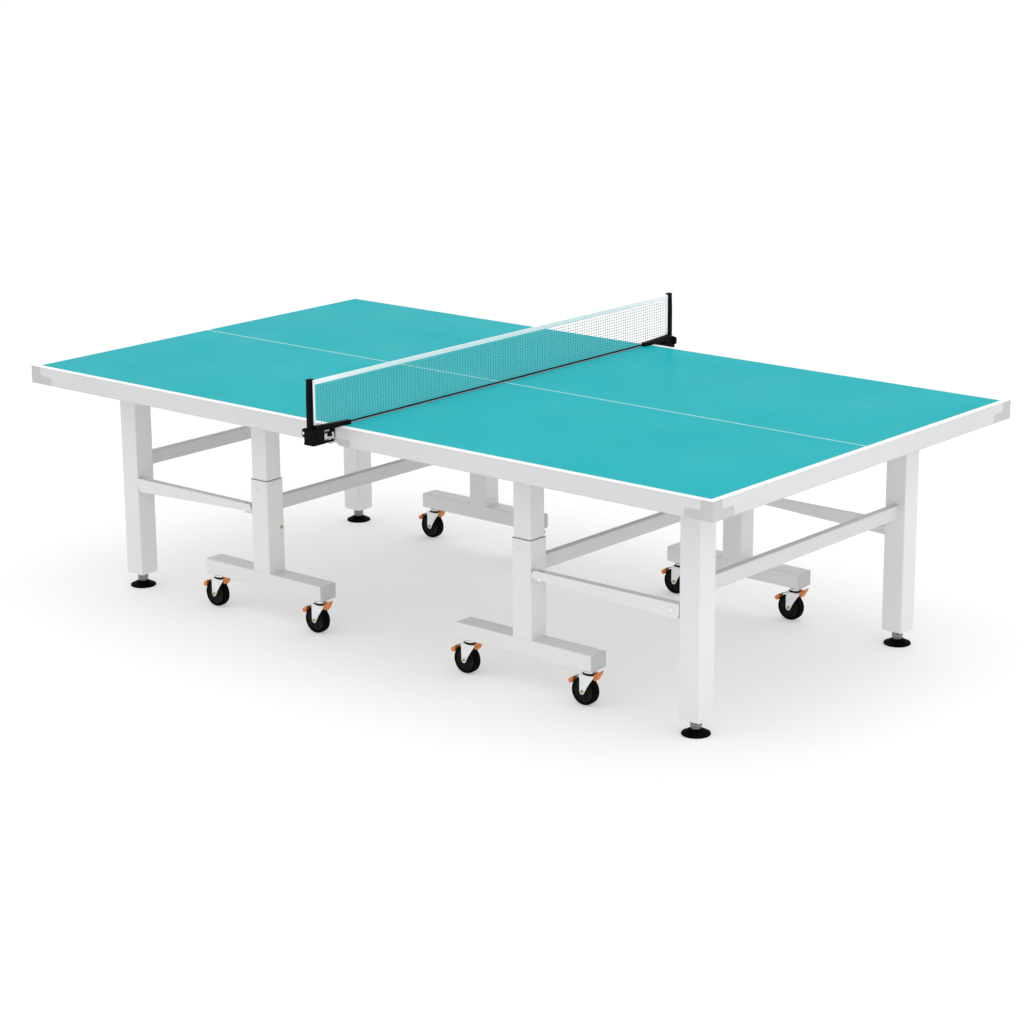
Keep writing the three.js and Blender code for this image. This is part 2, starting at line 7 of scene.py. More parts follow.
import bmesh
import bpy
from mathutils import Matrix, Vector


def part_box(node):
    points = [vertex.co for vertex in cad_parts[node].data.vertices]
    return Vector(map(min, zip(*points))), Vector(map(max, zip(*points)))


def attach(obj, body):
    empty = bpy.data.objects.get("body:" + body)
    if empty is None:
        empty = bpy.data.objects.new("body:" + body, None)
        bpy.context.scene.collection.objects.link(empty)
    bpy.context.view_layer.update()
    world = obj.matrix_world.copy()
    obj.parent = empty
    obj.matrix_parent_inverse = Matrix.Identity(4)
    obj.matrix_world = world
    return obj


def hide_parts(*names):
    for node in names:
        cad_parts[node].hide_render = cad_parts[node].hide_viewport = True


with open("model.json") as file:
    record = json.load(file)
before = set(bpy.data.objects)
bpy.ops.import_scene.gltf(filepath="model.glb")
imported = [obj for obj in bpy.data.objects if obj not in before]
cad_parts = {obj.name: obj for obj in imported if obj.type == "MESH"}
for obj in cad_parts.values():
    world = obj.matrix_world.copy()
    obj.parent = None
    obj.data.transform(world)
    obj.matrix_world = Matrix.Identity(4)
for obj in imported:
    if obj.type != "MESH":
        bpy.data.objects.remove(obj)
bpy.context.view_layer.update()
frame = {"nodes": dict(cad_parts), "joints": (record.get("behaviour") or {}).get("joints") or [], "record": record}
mm = 0.001
scene = bpy.context.scene
bodyOf = {}
for bodyName, nodeNames in frame["record"]["behaviour"]["bodies"].items():
    for nodeName in nodeNames:
        bodyOf[nodeName] = bodyName
pivotOf = {joint["name"]: Vector(joint["pos_m"]) for joint in frame["joints"] if "pos_m" in joint}
halves = {"right": 1, "left": -1}  # side of the net each half stands on
rows = {"near": -1, "far": 1}
casterEnds = ("inner", "outer")
print("frame loaded:", len(frame["nodes"]), "nodes")


# sRGB hex to linear RGBA
def colour(code):
    channels = [int(code[i:i + 2], 16) / 255 for i in (1, 3, 5)]
    return [c / 12.92 if c <= 0.04045 else ((c + 0.055) / 1.055) ** 2.4 for c in channels] + [1]


# one shader node with its settings, and its sockets linked or set
def addNode(tree, kind, settings=None, sockets=None):
    made = tree.nodes.new(kind)
    for name, value in (settings or {}).items():
        setattr(made, name, value)
    for name, value in (sockets or {}).items():
        if isinstance(value, bpy.types.NodeSocket):
            tree.links.new(value, made.inputs[name])
        else:
            made.inputs[name].default_value = value
    return made


view = {
    "place": (5.253, -6.127, 2.543),
    "azimuth": 40.44,  # degrees from +Y towards -X
    "drop": 15.29,  # degrees below level
    "roll": -0.46,
    "lens": 92.35,
    "sensor": 36,
}


def makeCamera():
    azimuth = math.radians(view["azimuth"])
    drop = math.radians(view["drop"])
    level = math.cos(drop)
    look = Vector((-math.sin(azimuth) * level, math.cos(azimuth) * level, -math.sin(drop)))
    turn = look.to_track_quat("-Z", "Y").to_matrix().to_4x4()
    camera = bpy.data.objects.new("camera", bpy.data.cameras.new("camera"))
    camera.data.lens = view["lens"]
    camera.data.sensor_width = view["sensor"]
    camera.matrix_world = (
        Matrix.Translation(view["place"]) @ turn @ Matrix.Rotation(math.radians(view["roll"]), 4, "Z")
    )
    scene.collection.objects.link(camera)
    scene.camera = camera


studio = {
    "floorSize": 60.0,
    "floorColour": "#dcdcdc",
    "floorRoughness": 0.9,
    "floorGlow": 0.3,  # keeps the paper near white between the lamps
    "worldStrength": 0.97,
    "lights": {
        # name: place, aim, size, power
        "overhead": ((0.6, -0.4, 5.2), (0, 0, 0), 4.5, 45),
        "endFill": ((6.0, -1.5, 2.6), (0.4, 0, 0.5), 3.0, 16),
        "lowFill": ((3.6, -0.5, 0.2), (0.6, -0.2, 0.1), 1.0, 4),
    },
}


def makeStudio():
    bpy.ops.mesh.primitive_plane_add(size=studio["floorSize"])
    floor = bpy.context.object
    floor.name = "floor"
    paper = bpy.data.materials.new("matt white paper sweep")
    paper.use_nodes = True
    shader = paper.node_tree.nodes["Principled BSDF"]
    shader.inputs["Base Color"].default_value = colour(studio["floorColour"])
    shader.inputs["Roughness"].default_value = studio["floorRoughness"]
    shader.inputs["Emission Color"].default_value = (1, 1, 1, 1)
    shader.inputs["Emission Strength"].default_value = studio["floorGlow"]
    floor.data.materials.append(paper)
    world = bpy.data.worlds.new("white studio")
    world.use_nodes = True
    background = world.node_tree.nodes["Background"]
    background.inputs["Color"].default_value = (1, 1, 1, 1)
    background.inputs["Strength"].default_value = studio["worldStrength"]
    scene.world = world
    for name, (place, aim, size, power) in studio["lights"].items():
        lamp = bpy.data.lights.new(name, "AREA")
        lamp.size = size
        lamp.energy = power
        holder = bpy.data.objects.new(name, lamp)
        holder.location = place
        holder.rotation_euler = (Vector(aim) - Vector(place)).to_track_quat("-Z", "Y").to_euler()
        scene.collection.objects.link(holder)
    scene.view_settings.view_transform = "Standard"


makeCamera()
makeStudio()
print("camera, floor and light made")


noiseSpread = {"From Min": 0.3, "From Max": 0.7}  # where nearly all of a noise's values lie


# Base colour that drifts between two tones, roughness that drifts between two values, and a
# fine grain in the normal. "drift" holds the sizes of the colour's and the roughness's patches,
# and "grain" its size, strength and height. Every size is the real one in metres.
def makeMaterial(name, look):
    material = bpy.data.materials.new(name)
    material.use_nodes = True
    tree = material.node_tree
    shader = tree.nodes["Principled BSDF"]
    for socket, value in look["shader"].items():
        shader.inputs[socket].default_value = value
    place = addNode(tree, "ShaderNodeTexCoord").outputs["Object"]
    cloudSize, smearSize = look["drift"]
    cloud = addNode(tree, "ShaderNodeTexNoise", None, {
        "Vector": place, "Scale": 1 / cloudSize, "Detail": 5.0, "Roughness": 0.6,
    })
    spread = addNode(tree, "ShaderNodeMapRange", None, {"Value": cloud.outputs["Fac"], **noiseSpread})
    tone = addNode(tree, "ShaderNodeMix", {"data_type": "RGBA"}, {
        "Factor": spread.outputs["Result"], 6: colour(look["tones"][0]), 7: colour(look["tones"][1]),
    })
    tree.links.new(tone.outputs[2], shader.inputs["Base Color"])
    smear = addNode(tree, "ShaderNodeTexNoise", None, {
        "Vector": place, "Scale": 1 / smearSize, "Detail": 3.0,
    })
    gloss = addNode(tree, "ShaderNodeMapRange", None, {
        "Value": smear.outputs["Fac"], **noiseSpread,
        "To Min": look["roughness"][0], "To Max": look["roughness"][1],
    })
    tree.links.new(gloss.outputs["Result"], shader.inputs["Roughness"])
    size, strength, height = look["grain"]
    grain = addNode(tree, "ShaderNodeTexNoise", None, {"Vector": place, "Scale": 1 / size, "Detail": 2.0})
    bump = addNode(tree, "ShaderNodeBump", None, {
        "Height": grain.outputs["Fac"], "Strength": strength, "Distance": height,
    })
    if "ribs" in look:
        bump = addRibs(tree, place, bump, *look["ribs"])
    tree.links.new(bump.outputs["Normal"], shader.inputs["Normal"])
    return material


# two crossing sets of ribs in the (y, z) plane of the net, over a grain
def addRibs(tree, place, grain, pitch, height, turn):
    mapping = addNode(tree, "ShaderNodeMapping", None, {
        "Vector": place, "Rotation": (math.radians(turn), 0, 0),
    })
    axes = addNode(tree, "ShaderNodeSeparateXYZ", None, {"Vector": mapping.outputs["Vector"]})
    waves = []
    for axis in ("Y", "Z"):
        angle = addNode(tree, "ShaderNodeMath", {"operation": "MULTIPLY"}, {
            0: axes.outputs[axis], 1: 2 * math.pi / pitch,
        })
        waves.append(addNode(tree, "ShaderNodeMath", {"operation": "SINE"}, {0: angle.outputs[0]}))
    woven = addNode(tree, "ShaderNodeMath", {"operation": "MULTIPLY"}, {
        0: waves[0].outputs[0], 1: waves[1].outputs[0],
    })
    return addNode(tree, "ShaderNodeBump", None, {
        "Height": woven.outputs[0], "Strength": 0.6, "Distance": height, "Normal": grain.outputs["Normal"],
    })


# Roller-coated acrylic on fibreboard: satin, with hardly any reflection or grain.
def tealCoating():
    return makeMaterial("satin teal acrylic coating", {
        "tones": ("#0da9b1", "#16afb7"), "drift": (0.35, 0.25), "roughness": (0.3, 0.38),
        "grain": (1.1 * mm, 0.12, 0.05 * mm), "shader": {"IOR": 1.49, "Specular IOR Level": 0.012},
    })


# The same acrylic in white, screened over the teal as the court lines.
def whiteLinePaint():
    return makeMaterial("white acrylic line paint", {
        "tones": ("#f6f7f7", "#fbfcfc"), "drift": (0.12, 0.1), "roughness": (0.32, 0.42),
        "grain": (0.8 * mm, 0.15, 0.05 * mm), "shader": {"IOR": 1.49},
    })


# Medium density fibreboard under a grey sealer: matt, mottled by the fibres below.
def sealedFibreboard():
    return makeMaterial("sealed medium density fibreboard", {
        "tones": ("#b3b2b0", "#c2c1be"), "drift": (9 * mm, 60 * mm), "roughness": (0.62, 0.8),
        "grain": (1.4 * mm, 0.4, 0.12 * mm), "shader": {"IOR": 1.5},
    })


# Electrostatic powder coat on steel: light grey, satin, with the orange peel of melted powder.
# The peel is drawn at 2 mm, as coarse as it needs to show.
def powderCoat(name, tones):
    return makeMaterial(name, {
        "tones": tones, "drift": (0.4, 0.15), "roughness": (0.38, 0.48),
        "grain": (2.0 * mm, 0.22, 0.12 * mm),
        "shader": {"IOR": 1.5, "Coat Weight": 0.12, "Coat Roughness": 0.25},
    })


# Injection moulded ABS with a spark-eroded texture: even grey, a little duller than the paint.
def mouldedPlastic():
    return makeMaterial("moulded grey ABS", {
        "tones": ("#bbbcbd", "#c2c3c4"), "drift": (60 * mm, 40 * mm), "roughness": (0.48, 0.58),
        "grain": (0.7 * mm, 0.5, 0.08 * mm), "shader": {"IOR": 1.53},
    })


# Bright zinc electroplate on pressed steel: pale metal, its reflections blurred by the pressing.
def zincPlate():
    return makeMaterial("bright zinc plated steel", {
        "tones": ("#e4e8ea", "#f1f3f4"), "drift": (30 * mm, 14 * mm), "roughness": (0.3, 0.44),
        "grain": (1.6 * mm, 0.06, 0.04 * mm), "shader": {"Metallic": 0.7},
    })


# Zinc with a yellow chromate: pale gold that drifts from warm to light.
def yellowZinc():
    return makeMaterial("yellow passivated zinc", {
        "tones": ("#b3925f", "#d5c096"), "drift": (6 * mm, 5 * mm), "roughness": (0.22, 0.36),
        "grain": (1.2 * mm, 0.2, 0.05 * mm), "shader": {"Metallic": 1.0},
    })


# Turned mild steel, oiled: darker and warmer than the zinc.
def turnedSteel():
    return makeMaterial("turned steel", {
        "tones": ("#7d7a76", "#98958f"), "drift": (10 * mm, 6 * mm), "roughness": (0.28, 0.42),
        "grain": (0.9 * mm, 0.25, 0.05 * mm), "shader": {"Metallic": 1.0},
    })


# Vulcanised rubber: near black and matt, with a slight drift in its tone.
def blackRubber():
    return makeMaterial("black vulcanised rubber", {
        "tones": ("#050505", "#0c0c0d"), "drift": (18 * mm, 12 * mm), "roughness": (0.5, 0.68),
        "grain": (0.9 * mm, 0.4, 0.08 * mm), "shader": {"IOR": 1.52, "Specular IOR Level": 0.02},
    })


# Polypropylene wheel centre: black, a touch lighter and shinier than the tyre.
def blackPolypropylene():
    return makeMaterial("black polypropylene", {
        "tones": ("#111213", "#1a1b1c"), "drift": (20 * mm, 15 * mm), "roughness": (0.34, 0.46),
        "grain": (0.7 * mm, 0.3, 0.06 * mm), "shader": {"IOR": 1.49, "Specular IOR Level": 0.06},
    })


# Orange polypropylene brake tabs: bright, slightly waxy.
def orangePolypropylene():
    return makeMaterial("orange polypropylene", {
        "tones": ("#cf6a1c", "#e08431"), "drift": (16 * mm, 10 * mm), "roughness": (0.34, 0.46),
        "grain": (0.8 * mm, 0.3, 0.07 * mm),
        "shader": {"IOR": 1.49, "Subsurface Weight": 0.08, "Subsurface Scale": 0.002},
    })


# Glass-filled nylon: black with a fine leather-like moulded grain.
def blackNylon():
    return makeMaterial("black glass filled nylon", {
        "tones": ("#08090a", "#0f1011"), "drift": (30 * mm, 18 * mm), "roughness": (0.36, 0.5),
        "grain": (0.8 * mm, 0.45, 0.08 * mm), "shader": {"IOR": 1.53, "Specular IOR Level": 0.035},
    })


# Twisted polyester net twine: matt and fibrous, with a little sheen.
def netTwine(name, tones):
    return makeMaterial(name, {
        "tones": tones, "drift": (22 * mm, 8 * mm), "roughness": (0.7, 0.85),
        "grain": (0.6 * mm, 0.6, 0.1 * mm), "shader": {"Sheen Weight": 0.2},
    })


# Plain woven cotton tape: white, with warp and weft ribs drawn at 1.6 mm so that they show.
def wovenTape():
    return makeMaterial("white woven cotton tape", {
        "tones": ("#f4f6f7", "#fcfdfd"), "drift": (30 * mm, 12 * mm), "roughness": (0.78, 0.9),
        "grain": (0.5 * mm, 0.4, 0.05 * mm), "ribs": (1.6 * mm, 0.12 * mm, 0),
        "shader": {"Sheen Weight": 0.15},
    })


# Braided polyester cord: black, with crossing strands drawn at 2 mm.
def braidedCord():
    return makeMaterial("black braided polyester", {
        "tones": ("#070809", "#0f1113"), "drift": (8 * mm, 6 * mm), "roughness": (0.6, 0.75),
        "grain": (0.5 * mm, 0.4, 0.05 * mm), "ribs": (2.0 * mm, 0.3 * mm, 45),
        "shader": {"Specular IOR Level": 0.05},
    })


teal = tealCoating()
linePaint = whiteLinePaint()
fibreboard = sealedFibreboard()
apronCoat = powderCoat("light grey powder coat, apron", ("#d1d2d3", "#d5d6d7"))
# The cross-bars wear the legs' powder coat, drawn darker as painted shade under the table top.
barCoatWithPaintedShade = powderCoat("light grey powder coat, cross-bars", ("#d1d2d2", "#d6d7d7"))
legCoat = powderCoat("light grey powder coat, legs", ("#dfe0e0", "#e3e3e4"))
greyPlastic = mouldedPlastic()
zinc = zincPlate()
goldZinc = yellowZinc()
steel = turnedSteel()
rubber = blackRubber()
wheelPlastic = blackPolypropylene()
orange = orangePolypropylene()
nylon = blackNylon()
twine = netTwine("twisted polyester twine", ("#86afb4", "#9bc0c4"))
knotTwine = netTwine("twisted polyester twine, tarred knots", ("#0b1f22", "#143035"))
tape = wovenTape()
cordBraid = braidedCord()
print("materials made:", len(bpy.data.materials))


# a bmesh kept as a plain mesh that can be stamped again and again
def kept(shape, material=0):
    for face in shape.faces:
        face.material_index = material
    mesh = bpy.data.meshes.new("shape")
    shape.to_mesh(mesh)
    shape.free()
    return mesh


# a bmesh turned into place and kept
def placed(shape, matrix, material=0):
    bmesh.ops.transform(shape, matrix=matrix, verts=shape.verts)
    return kept(shape, material)


# adds a copy of a kept shape to a piece
def stamp(piece, mesh, place=None):
    copy = mesh.copy()
    if place is not None:
        copy.transform(place)
    piece.from_mesh(copy)
    bpy.data.meshes.remove(copy)


def softenEdges(shape, width, segments=2, angle=30):
    limit = math.radians(angle)
    sharp = [e for e in shape.edges if len(e.link_faces) == 2 and e.calc_face_angle() > limit]
    bmesh.ops.bevel(
        shape, geom=sharp, offset=width, offset_type="OFFSET", segments=segments, profile=0.5,
        affect="EDGES", clamp_overlap=True, material=-1,
    )


def addBox(shape, low, high):
    size = Matrix.Diagonal((*(high - low), 1))
    bmesh.ops.create_cube(shape, size=1, matrix=Matrix.Translation((low + high) / 2) @ size)


# block with softened edges between two opposite corners, given in any order
def block(corner, opposite, edge=0.6 * mm, segments=2, material=0):
    shape = bmesh.new()
    addBox(shape, Vector(map(min, corner, opposite)), Vector(map(max, corner, opposite)))
    softenEdges(shape, edge, segments)
    return kept(shape, material)


# round, hexagonal or tapered rod from start to end
def rod(start, end, radius, endRadius=None, segments=24, edge=0.0, material=0):
    shape = bmesh.new()
    start, end = Vector(start), Vector(end)
    turn = (end - start).to_track_quat("Z", "Y").to_matrix().to_4x4()
    bmesh.ops.create_cone(
        shape, cap_ends=True, segments=segments, radius1=radius,
        radius2=radius if endRadius is None else endRadius, depth=(end - start).length,
        matrix=Matrix.Translation((start + end) / 2) @ turn,
    )
    if edge:
        softenEdges(shape, edge, 2, 50)
    return kept(shape, material)


# profile of (radius, height) points spun about an axis through centre
def turned(profile, centre, direction=(0, 0, 1), segments=40, edge=0.0, material=0):
    shape = bmesh.new()
    points = [shape.verts.new((radius, 0, height)) for radius, height in profile]
    edges = [shape.edges.new(pair) for pair in zip(points, points[1:])]
    if profile[0] != profile[-1] and profile[-1][0] > 0:
        edges.append(shape.edges.new((points[-1], points[0])))
    bmesh.ops.spin(
        shape, geom=points + edges, angle=2 * math.pi, steps=segments, axis=(0, 0, 1), cent=(0, 0, 0),
        use_merge=True,
    )
    bmesh.ops.remove_doubles(shape, verts=shape.verts, dist=0.001 * mm)
    bmesh.ops.recalc_face_normals(shape, faces=shape.faces)
    if edge:
        softenEdges(shape, edge, 2, 35)
    turn = Vector(direction).to_track_quat("Z", "Y").to_matrix().to_4x4()
    bmesh.ops.transform(shape, matrix=Matrix.Translation(centre) @ turn, verts=shape.verts)
    return kept(shape, material)


# points of an arc, from one angle to another in degrees
def arc(x, y, radius, first, last, steps=6):
    angles = [math.radians(first + (last - first) * i / steps) for i in range(steps + 1)]
    return [(x + radius * math.cos(a), y + radius * math.sin(a)) for a in angles]


# flat plate: an outline in (x, y), thick in z
def plate(outline, thickness, edge=0.5 * mm, segments=2):
    shape = bmesh.new()
    face = shape.faces.new([shape.verts.new((x, y, 0)) for x, y in outline])
    raised = bmesh.ops.extrude_face_region(shape, geom=[face])
    lifted = [v for v in raised["geom"] if isinstance(v, bmesh.types.BMVert)]
    bmesh.ops.translate(shape, vec=(0, 0, thickness), verts=lifted)
    bmesh.ops.recalc_face_normals(shape, faces=shape.faces)
    softenEdges(shape, edge, segments)
    return shape


# stands a plate up facing -y: the y of its outline becomes z
def standing(place):
    return Matrix.Translation(place) @ Matrix.Rotation(math.pi / 2, 4, "X")


# stands a plate up facing +x, from x on: its outline lies in (y, z)
def standingAcross(x):
    return Matrix(((0, 0, 1, x), (1, 0, 0, 0), (0, 1, 0, 0), (0, 0, 0, 1)))


# cuts every face that a plane crosses
def cutAlong(shape, point, normal, dist=0):
    everything = shape.verts[:] + shape.edges[:] + shape.faces[:]
    bmesh.ops.bisect_plane(shape, geom=everything, plane_co=point, plane_no=normal, dist=dist)


# a CAD node's shape, merged and with its edges softened
def finishedCopy(nodeName, edge, segments=2):
    shape = bmesh.new()
    shape.from_mesh(frame["nodes"][nodeName].data)
    bmesh.ops.remove_doubles(shape, verts=shape.verts, dist=0.01 * mm)
    bmesh.ops.dissolve_limit(
        shape, angle_limit=math.radians(1), use_dissolve_boundaries=False, verts=shape.verts,
        edges=shape.edges, delimit={"NORMAL"},
    )
    softenEdges(shape, edge, segments, 35)
    return shape


creaseAngle = math.radians(40)  # edges sharper than this are drawn sharp


# a finished bmesh as a piece that rides a body
def finish(name, shape, body, materials, replaced=()):
    mesh = bpy.data.meshes.new(name)
    shape.to_mesh(mesh)
    shape.free()
    for material in materials:
        mesh.materials.append(material)
    mesh.shade_smooth()
    mesh.set_sharp_from_angle(angle=creaseAngle)
    piece = bpy.data.objects.new(name, mesh)
    scene.collection.objects.link(piece)
    weighted = piece.modifiers.new("weighted normals", "WEIGHTED_NORMAL")
    weighted.keep_sharp = True
    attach(piece, body)
    if replaced:
        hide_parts(*replaced)
    return piece


# hexagon bolt head with its washer, standing on a face
def boltHead(place, direction, across, height, material=0):
    piece = bmesh.new()
    direction = Vector(direction)
    washer = [(0, 0), (across * 0.72, 0), (across * 0.72, 1.0 * mm), (0, 1.0 * mm)]
    stamp(piece, turned(washer, place, direction, 28, 0.2 * mm))
    start = Vector(place) + direction * 0.8 * mm
    radius = across / 2 / math.cos(math.pi / 6)
    stamp(piece, rod(start, start + direction * height, radius, None, 6, 0.5 * mm))
    return kept(piece, material)


# domed socket screw head, standing on a face
def screwHead(place, direction, radius, height, material=0):
    profile = [(0, height * 0.45), (radius * 0.42, height * 0.45), (radius * 0.5, height)]
    profile += [(radius * 0.75, height * 0.86), (radius * 0.93, height * 0.5), (radius, 0), (0, 0)]
    return turned(profile, place, direction, 24, 0, material)


boardLook = {
    "lineWidth": 20 * mm,  # side and end lines
    "centreLineWidth": 3 * mm,
    "rimRadius": 0.8 * mm,
    "netCornerRadius": 3 * mm,
}


def makeBoard(half):
    side = halves[half]
    nodeName = f"{half}_playing_board"
    low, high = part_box(nodeName)
    shape = bmesh.new()
    addBox(shape, low, high)
    netX, endX = (low.x, high.x) if side > 0 else (high.x, low.x)
    uprights = [e for e in shape.edges if all(abs(v.co.x - netX) < mm for v in e.verts)
                and abs(e.verts[0].co.z - e.verts[1].co.z) > mm]
    bmesh.ops.bevel(shape, geom=uprights, offset=boardLook["netCornerRadius"], offset_type="OFFSET",
                    segments=4, profile=0.5, affect="EDGES", clamp_overlap=True, material=-1)
    softenEdges(shape, boardLook["rimRadius"], 2, 60)
    lineY = high.y - boardLook["lineWidth"]
    lineX = endX - side * boardLook["lineWidth"]
    halfCentre = boardLook["centreLineWidth"] / 2
    cuts = [((0, y, 0), (0, 1, 0)) for y in (-lineY, -halfCentre, halfCentre, lineY)]
    cuts.append(((lineX, 0, 0), (1, 0, 0)))
    for point, normal in cuts:
        cutAlong(shape, point, normal, 0.01 * mm)
    for face in shape.faces:
        middle = face.calc_center_median()
        onLine = abs(middle.y) > lineY or side * (middle.x - lineX) > 0 or abs(middle.y) < halfCentre
        facesDown = face.normal.z < -0.5
        face.material_index = 2 if facesDown else int(onLine)
    finish(nodeName + "_finished", shape, bodyOf[nodeName],
           [teal, linePaint, fibreboard], [nodeName])


for half in halves:
    makeBoard(half)
print("boards made")


apronLook = {
    "edge": 0.8 * mm,
    "setBack": 0.9 * mm,  # apron face behind the face of the caps
    "capDepth": 1.7 * mm,
    "capEdge": 0.5 * mm,
    "capCorner": 3 * mm,  # radius of the bend round the table's corner
    "capBendSteps": 6,
    "capReach": 94 * mm,  # lower tab along each face
    "capUpperReach": 40 * mm,
    "capTabHeight": 27 * mm,
    "capTabRound": 9 * mm,
    "capHollow": 11 * mm,  # between the tab and the upper part
    "netCapReach": 58 * mm,
    "netCapHeight": 22 * mm,
    "netCapFoot": 18 * mm,  # radius of its lower corner
    "netCapRound": 10 * mm,
}


def makeTopFrame(half):
    nodeName = f"{half}_top_frame"
    low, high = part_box(nodeName)
    shape = finishedCopy(nodeName, apronLook["edge"])
    near = 0.05 * mm  # closer than this to the box, a vertex is on the apron's face
    for vertex in shape.verts:
        for axis in (0, 1):
            if vertex.co[axis] > high[axis] - near:
                vertex.co[axis] = high[axis] - apronLook["setBack"]
            if vertex.co[axis] < low[axis] + near:
                vertex.co[axis] = low[axis] + apronLook["setBack"]
    finish(nodeName + "_finished", shape, bodyOf[nodeName], [apronCoat], [nodeName])


# outline of an end cap laid flat: u along the apron from the corner, z up from its lower edge
def capOutline(height):
    reach, upper, tab = apronLook["capReach"], apronLook["capUpperReach"], apronLook["capTabHeight"]
    tabRound, hollow = apronLook["capTabRound"], apronLook["capHollow"]
    right = [(reach, 0)] + arc(reach - tabRound, tab - tabRound, tabRound, 0, 90)
    right += arc(upper + hollow, tab + hollow, hollow, 270, 180) + [(upper, height)]
    left = [(-u, z) for u, z in reversed(right)]
    return right + left


def makeEndCap(half, row):
    side, ySign = halves[half], rows[row]
    low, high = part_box(f"{half}_top_frame")
    cornerX = high.x if side > 0 else low.x
    cornerY = high.y if ySign > 0 else low.y
    shape = plate(capOutline(high.z - low.z), apronLook["capDepth"], apronLook["capEdge"])
    bend, steps = apronLook["capCorner"], apronLook["capBendSteps"]
    span = bend * math.pi / 2
    for i in range(steps + 1):
        cutAlong(shape, (span * (i / steps - 0.5), 0, 0), (1, 0, 0))
    for vertex in shape.verts:
        u, z, depth = vertex.co.x, vertex.co.y, apronLook["capDepth"] - vertex.co.z
        turn = min(max(u / span + 0.5, 0), 1) * math.pi / 2
        straight = max(abs(u) - span / 2, 0)
        inX = bend - (bend - depth) * math.sin(turn) + (straight if u < 0 else 0)
        inY = bend - (bend - depth) * math.cos(turn) + (straight if u > 0 else 0)
        vertex.co = (cornerX - side * inX, cornerY - ySign * inY, low.z + z)
    bmesh.ops.recalc_face_normals(shape, faces=shape.faces)
    finish(f"{half}_{row}_end_cap", shape, f"{half}_top", [greyPlastic])


def makeNetCap(half, row):
    side, ySign = halves[half], rows[row]
    low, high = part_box(f"{half}_top_frame")
    netX = low.x if side > 0 else high.x
    outerY = high.y if ySign > 0 else low.y
    reach, height = apronLook["netCapReach"], apronLook["netCapHeight"]
    foot, bend = apronLook["netCapFoot"], apronLook["netCapRound"]
    outline = arc(foot, foot, foot, 180, 270) + [(reach, 0)]
    outline += arc(reach - bend, height - bend, bend, 0, 90) + [(0, height)]
    shape = plate(outline, apronLook["capDepth"], apronLook["capEdge"])
    for vertex in shape.verts:
        u, z, depth = vertex.co.x, vertex.co.y, apronLook["capDepth"] - vertex.co.z
        vertex.co = (netX + side * u, outerY - ySign * depth, low.z + z)
    bmesh.ops.recalc_face_normals(shape, faces=shape.faces)
    finish(f"{half}_{row}_net_end_cap", shape, f"{half}_top", [greyPlastic])


for half in halves:
    makeTopFrame(half)
    for row in rows:
        makeEndCap(half, row)
        makeNetCap(half, row)
print("top frames and caps made")


tubeLook = {
    "edge": 0.8 * mm,
    "linkEdge": 1.2 * mm,
    "weldRadius": 2.0 * mm,
    "weldStep": 3.0 * mm,
}


# weld bead round a rectangle, given its middle, two directions and its half sizes along them
def weldBead(middle, across, up, halfAcross, halfUp):
    across, up, middle = Vector(across), Vector(up), Vector(middle)
    signs = ((1, 1), (-1, 1), (-1, -1), (1, -1))
    corners = [middle + across * halfAcross * a + up * halfUp * b for a, b in signs]
    points = []
    for start, end in zip(corners, corners[1:] + corners[:1]):
        steps = max(2, round((end - start).length / tubeLook["weldStep"]))
        points += [start.lerp(end, i / steps) for i in range(steps)]
    shape = bmesh.new()
    bmesh.ops.create_icosphere(shape, subdivisions=1, radius=tubeLook["weldRadius"])
    mesh = kept(shape)
    piece = bmesh.new()
    for point in points:
        stamp(piece, mesh, Matrix.Translation(point))
    return kept(piece)


def finishTubes():
    for half in halves:
        parts = [f"{half}_{bar}" for bar in ("wheel_leg_crossbar", "corner_leg_crossbar")]
        for row in rows:
            parts += [f"{half}_{row}_{tube}" for tube in
                      ("wheel_base", "wheel_leg_upper", "corner_leg", "side_link")]
        for nodeName in parts:
            edge = tubeLook["linkEdge"] if "link" in nodeName else tubeLook["edge"]
            shape = finishedCopy(nodeName, edge)
            # the cross-bars take the darker copy of the coat, which is painted shade
            coat = barCoatWithPaintedShade if "crossbar" in nodeName else legCoat
            finish(nodeName + "_finished", shape, bodyOf[nodeName], [coat], [nodeName])


finishTubes()
print("tubes finished")

tubeFittings = {
    "sleeveHalf": 36 * mm,
    "beamTop": 165 * mm,
    "bushLip": 1.2 * mm,  # plastic bush standing out of the sleeve
    "bushDepth": 8 * mm,
    "bushWall": 1.3 * mm,
    "bushPlay": 0.4 * mm,
    "plugDepth": 2.0 * mm,  # end plugs of the floor beams
    "plugInside": 1.0 * mm,
    "plugHalfWidth": 33.6 * mm,
    "plugTop": 1.4 * mm,  # below the beam's top
    "plugFoot": 48.6 * mm,
    "plugEdge": 1.4 * mm,
    "sleeveScrew": (4.2 * mm, 2.0 * mm),  # radius and height
    "sleeveScrewDrop": 30 * mm,  # below the sleeve's top
    "sleeveScrewOffset": 6 * mm,
    "lockKnobDrop": 15 * mm,
    "lockKnobRadius": 10.5 * mm,
    "tieBolt": (8 * mm, 3.6 * mm),  # across flats and height
    "tieBoltDrop": 158 * mm,
    "tieBoltOffset": 24 * mm,
    "rivetHead": [(0, 0), (8, 0), (7.4, 1.3), (5.2, 2.4), (0, 3.0)],  # radius and height, mm
    "rivetSink": 0.2 * mm,
    "hingeNut": (17 * mm, 7 * mm),
    "railFaces": {1: 546 * mm, -1: 498 * mm},  # where the nuts stand, outside and inside the rails
}


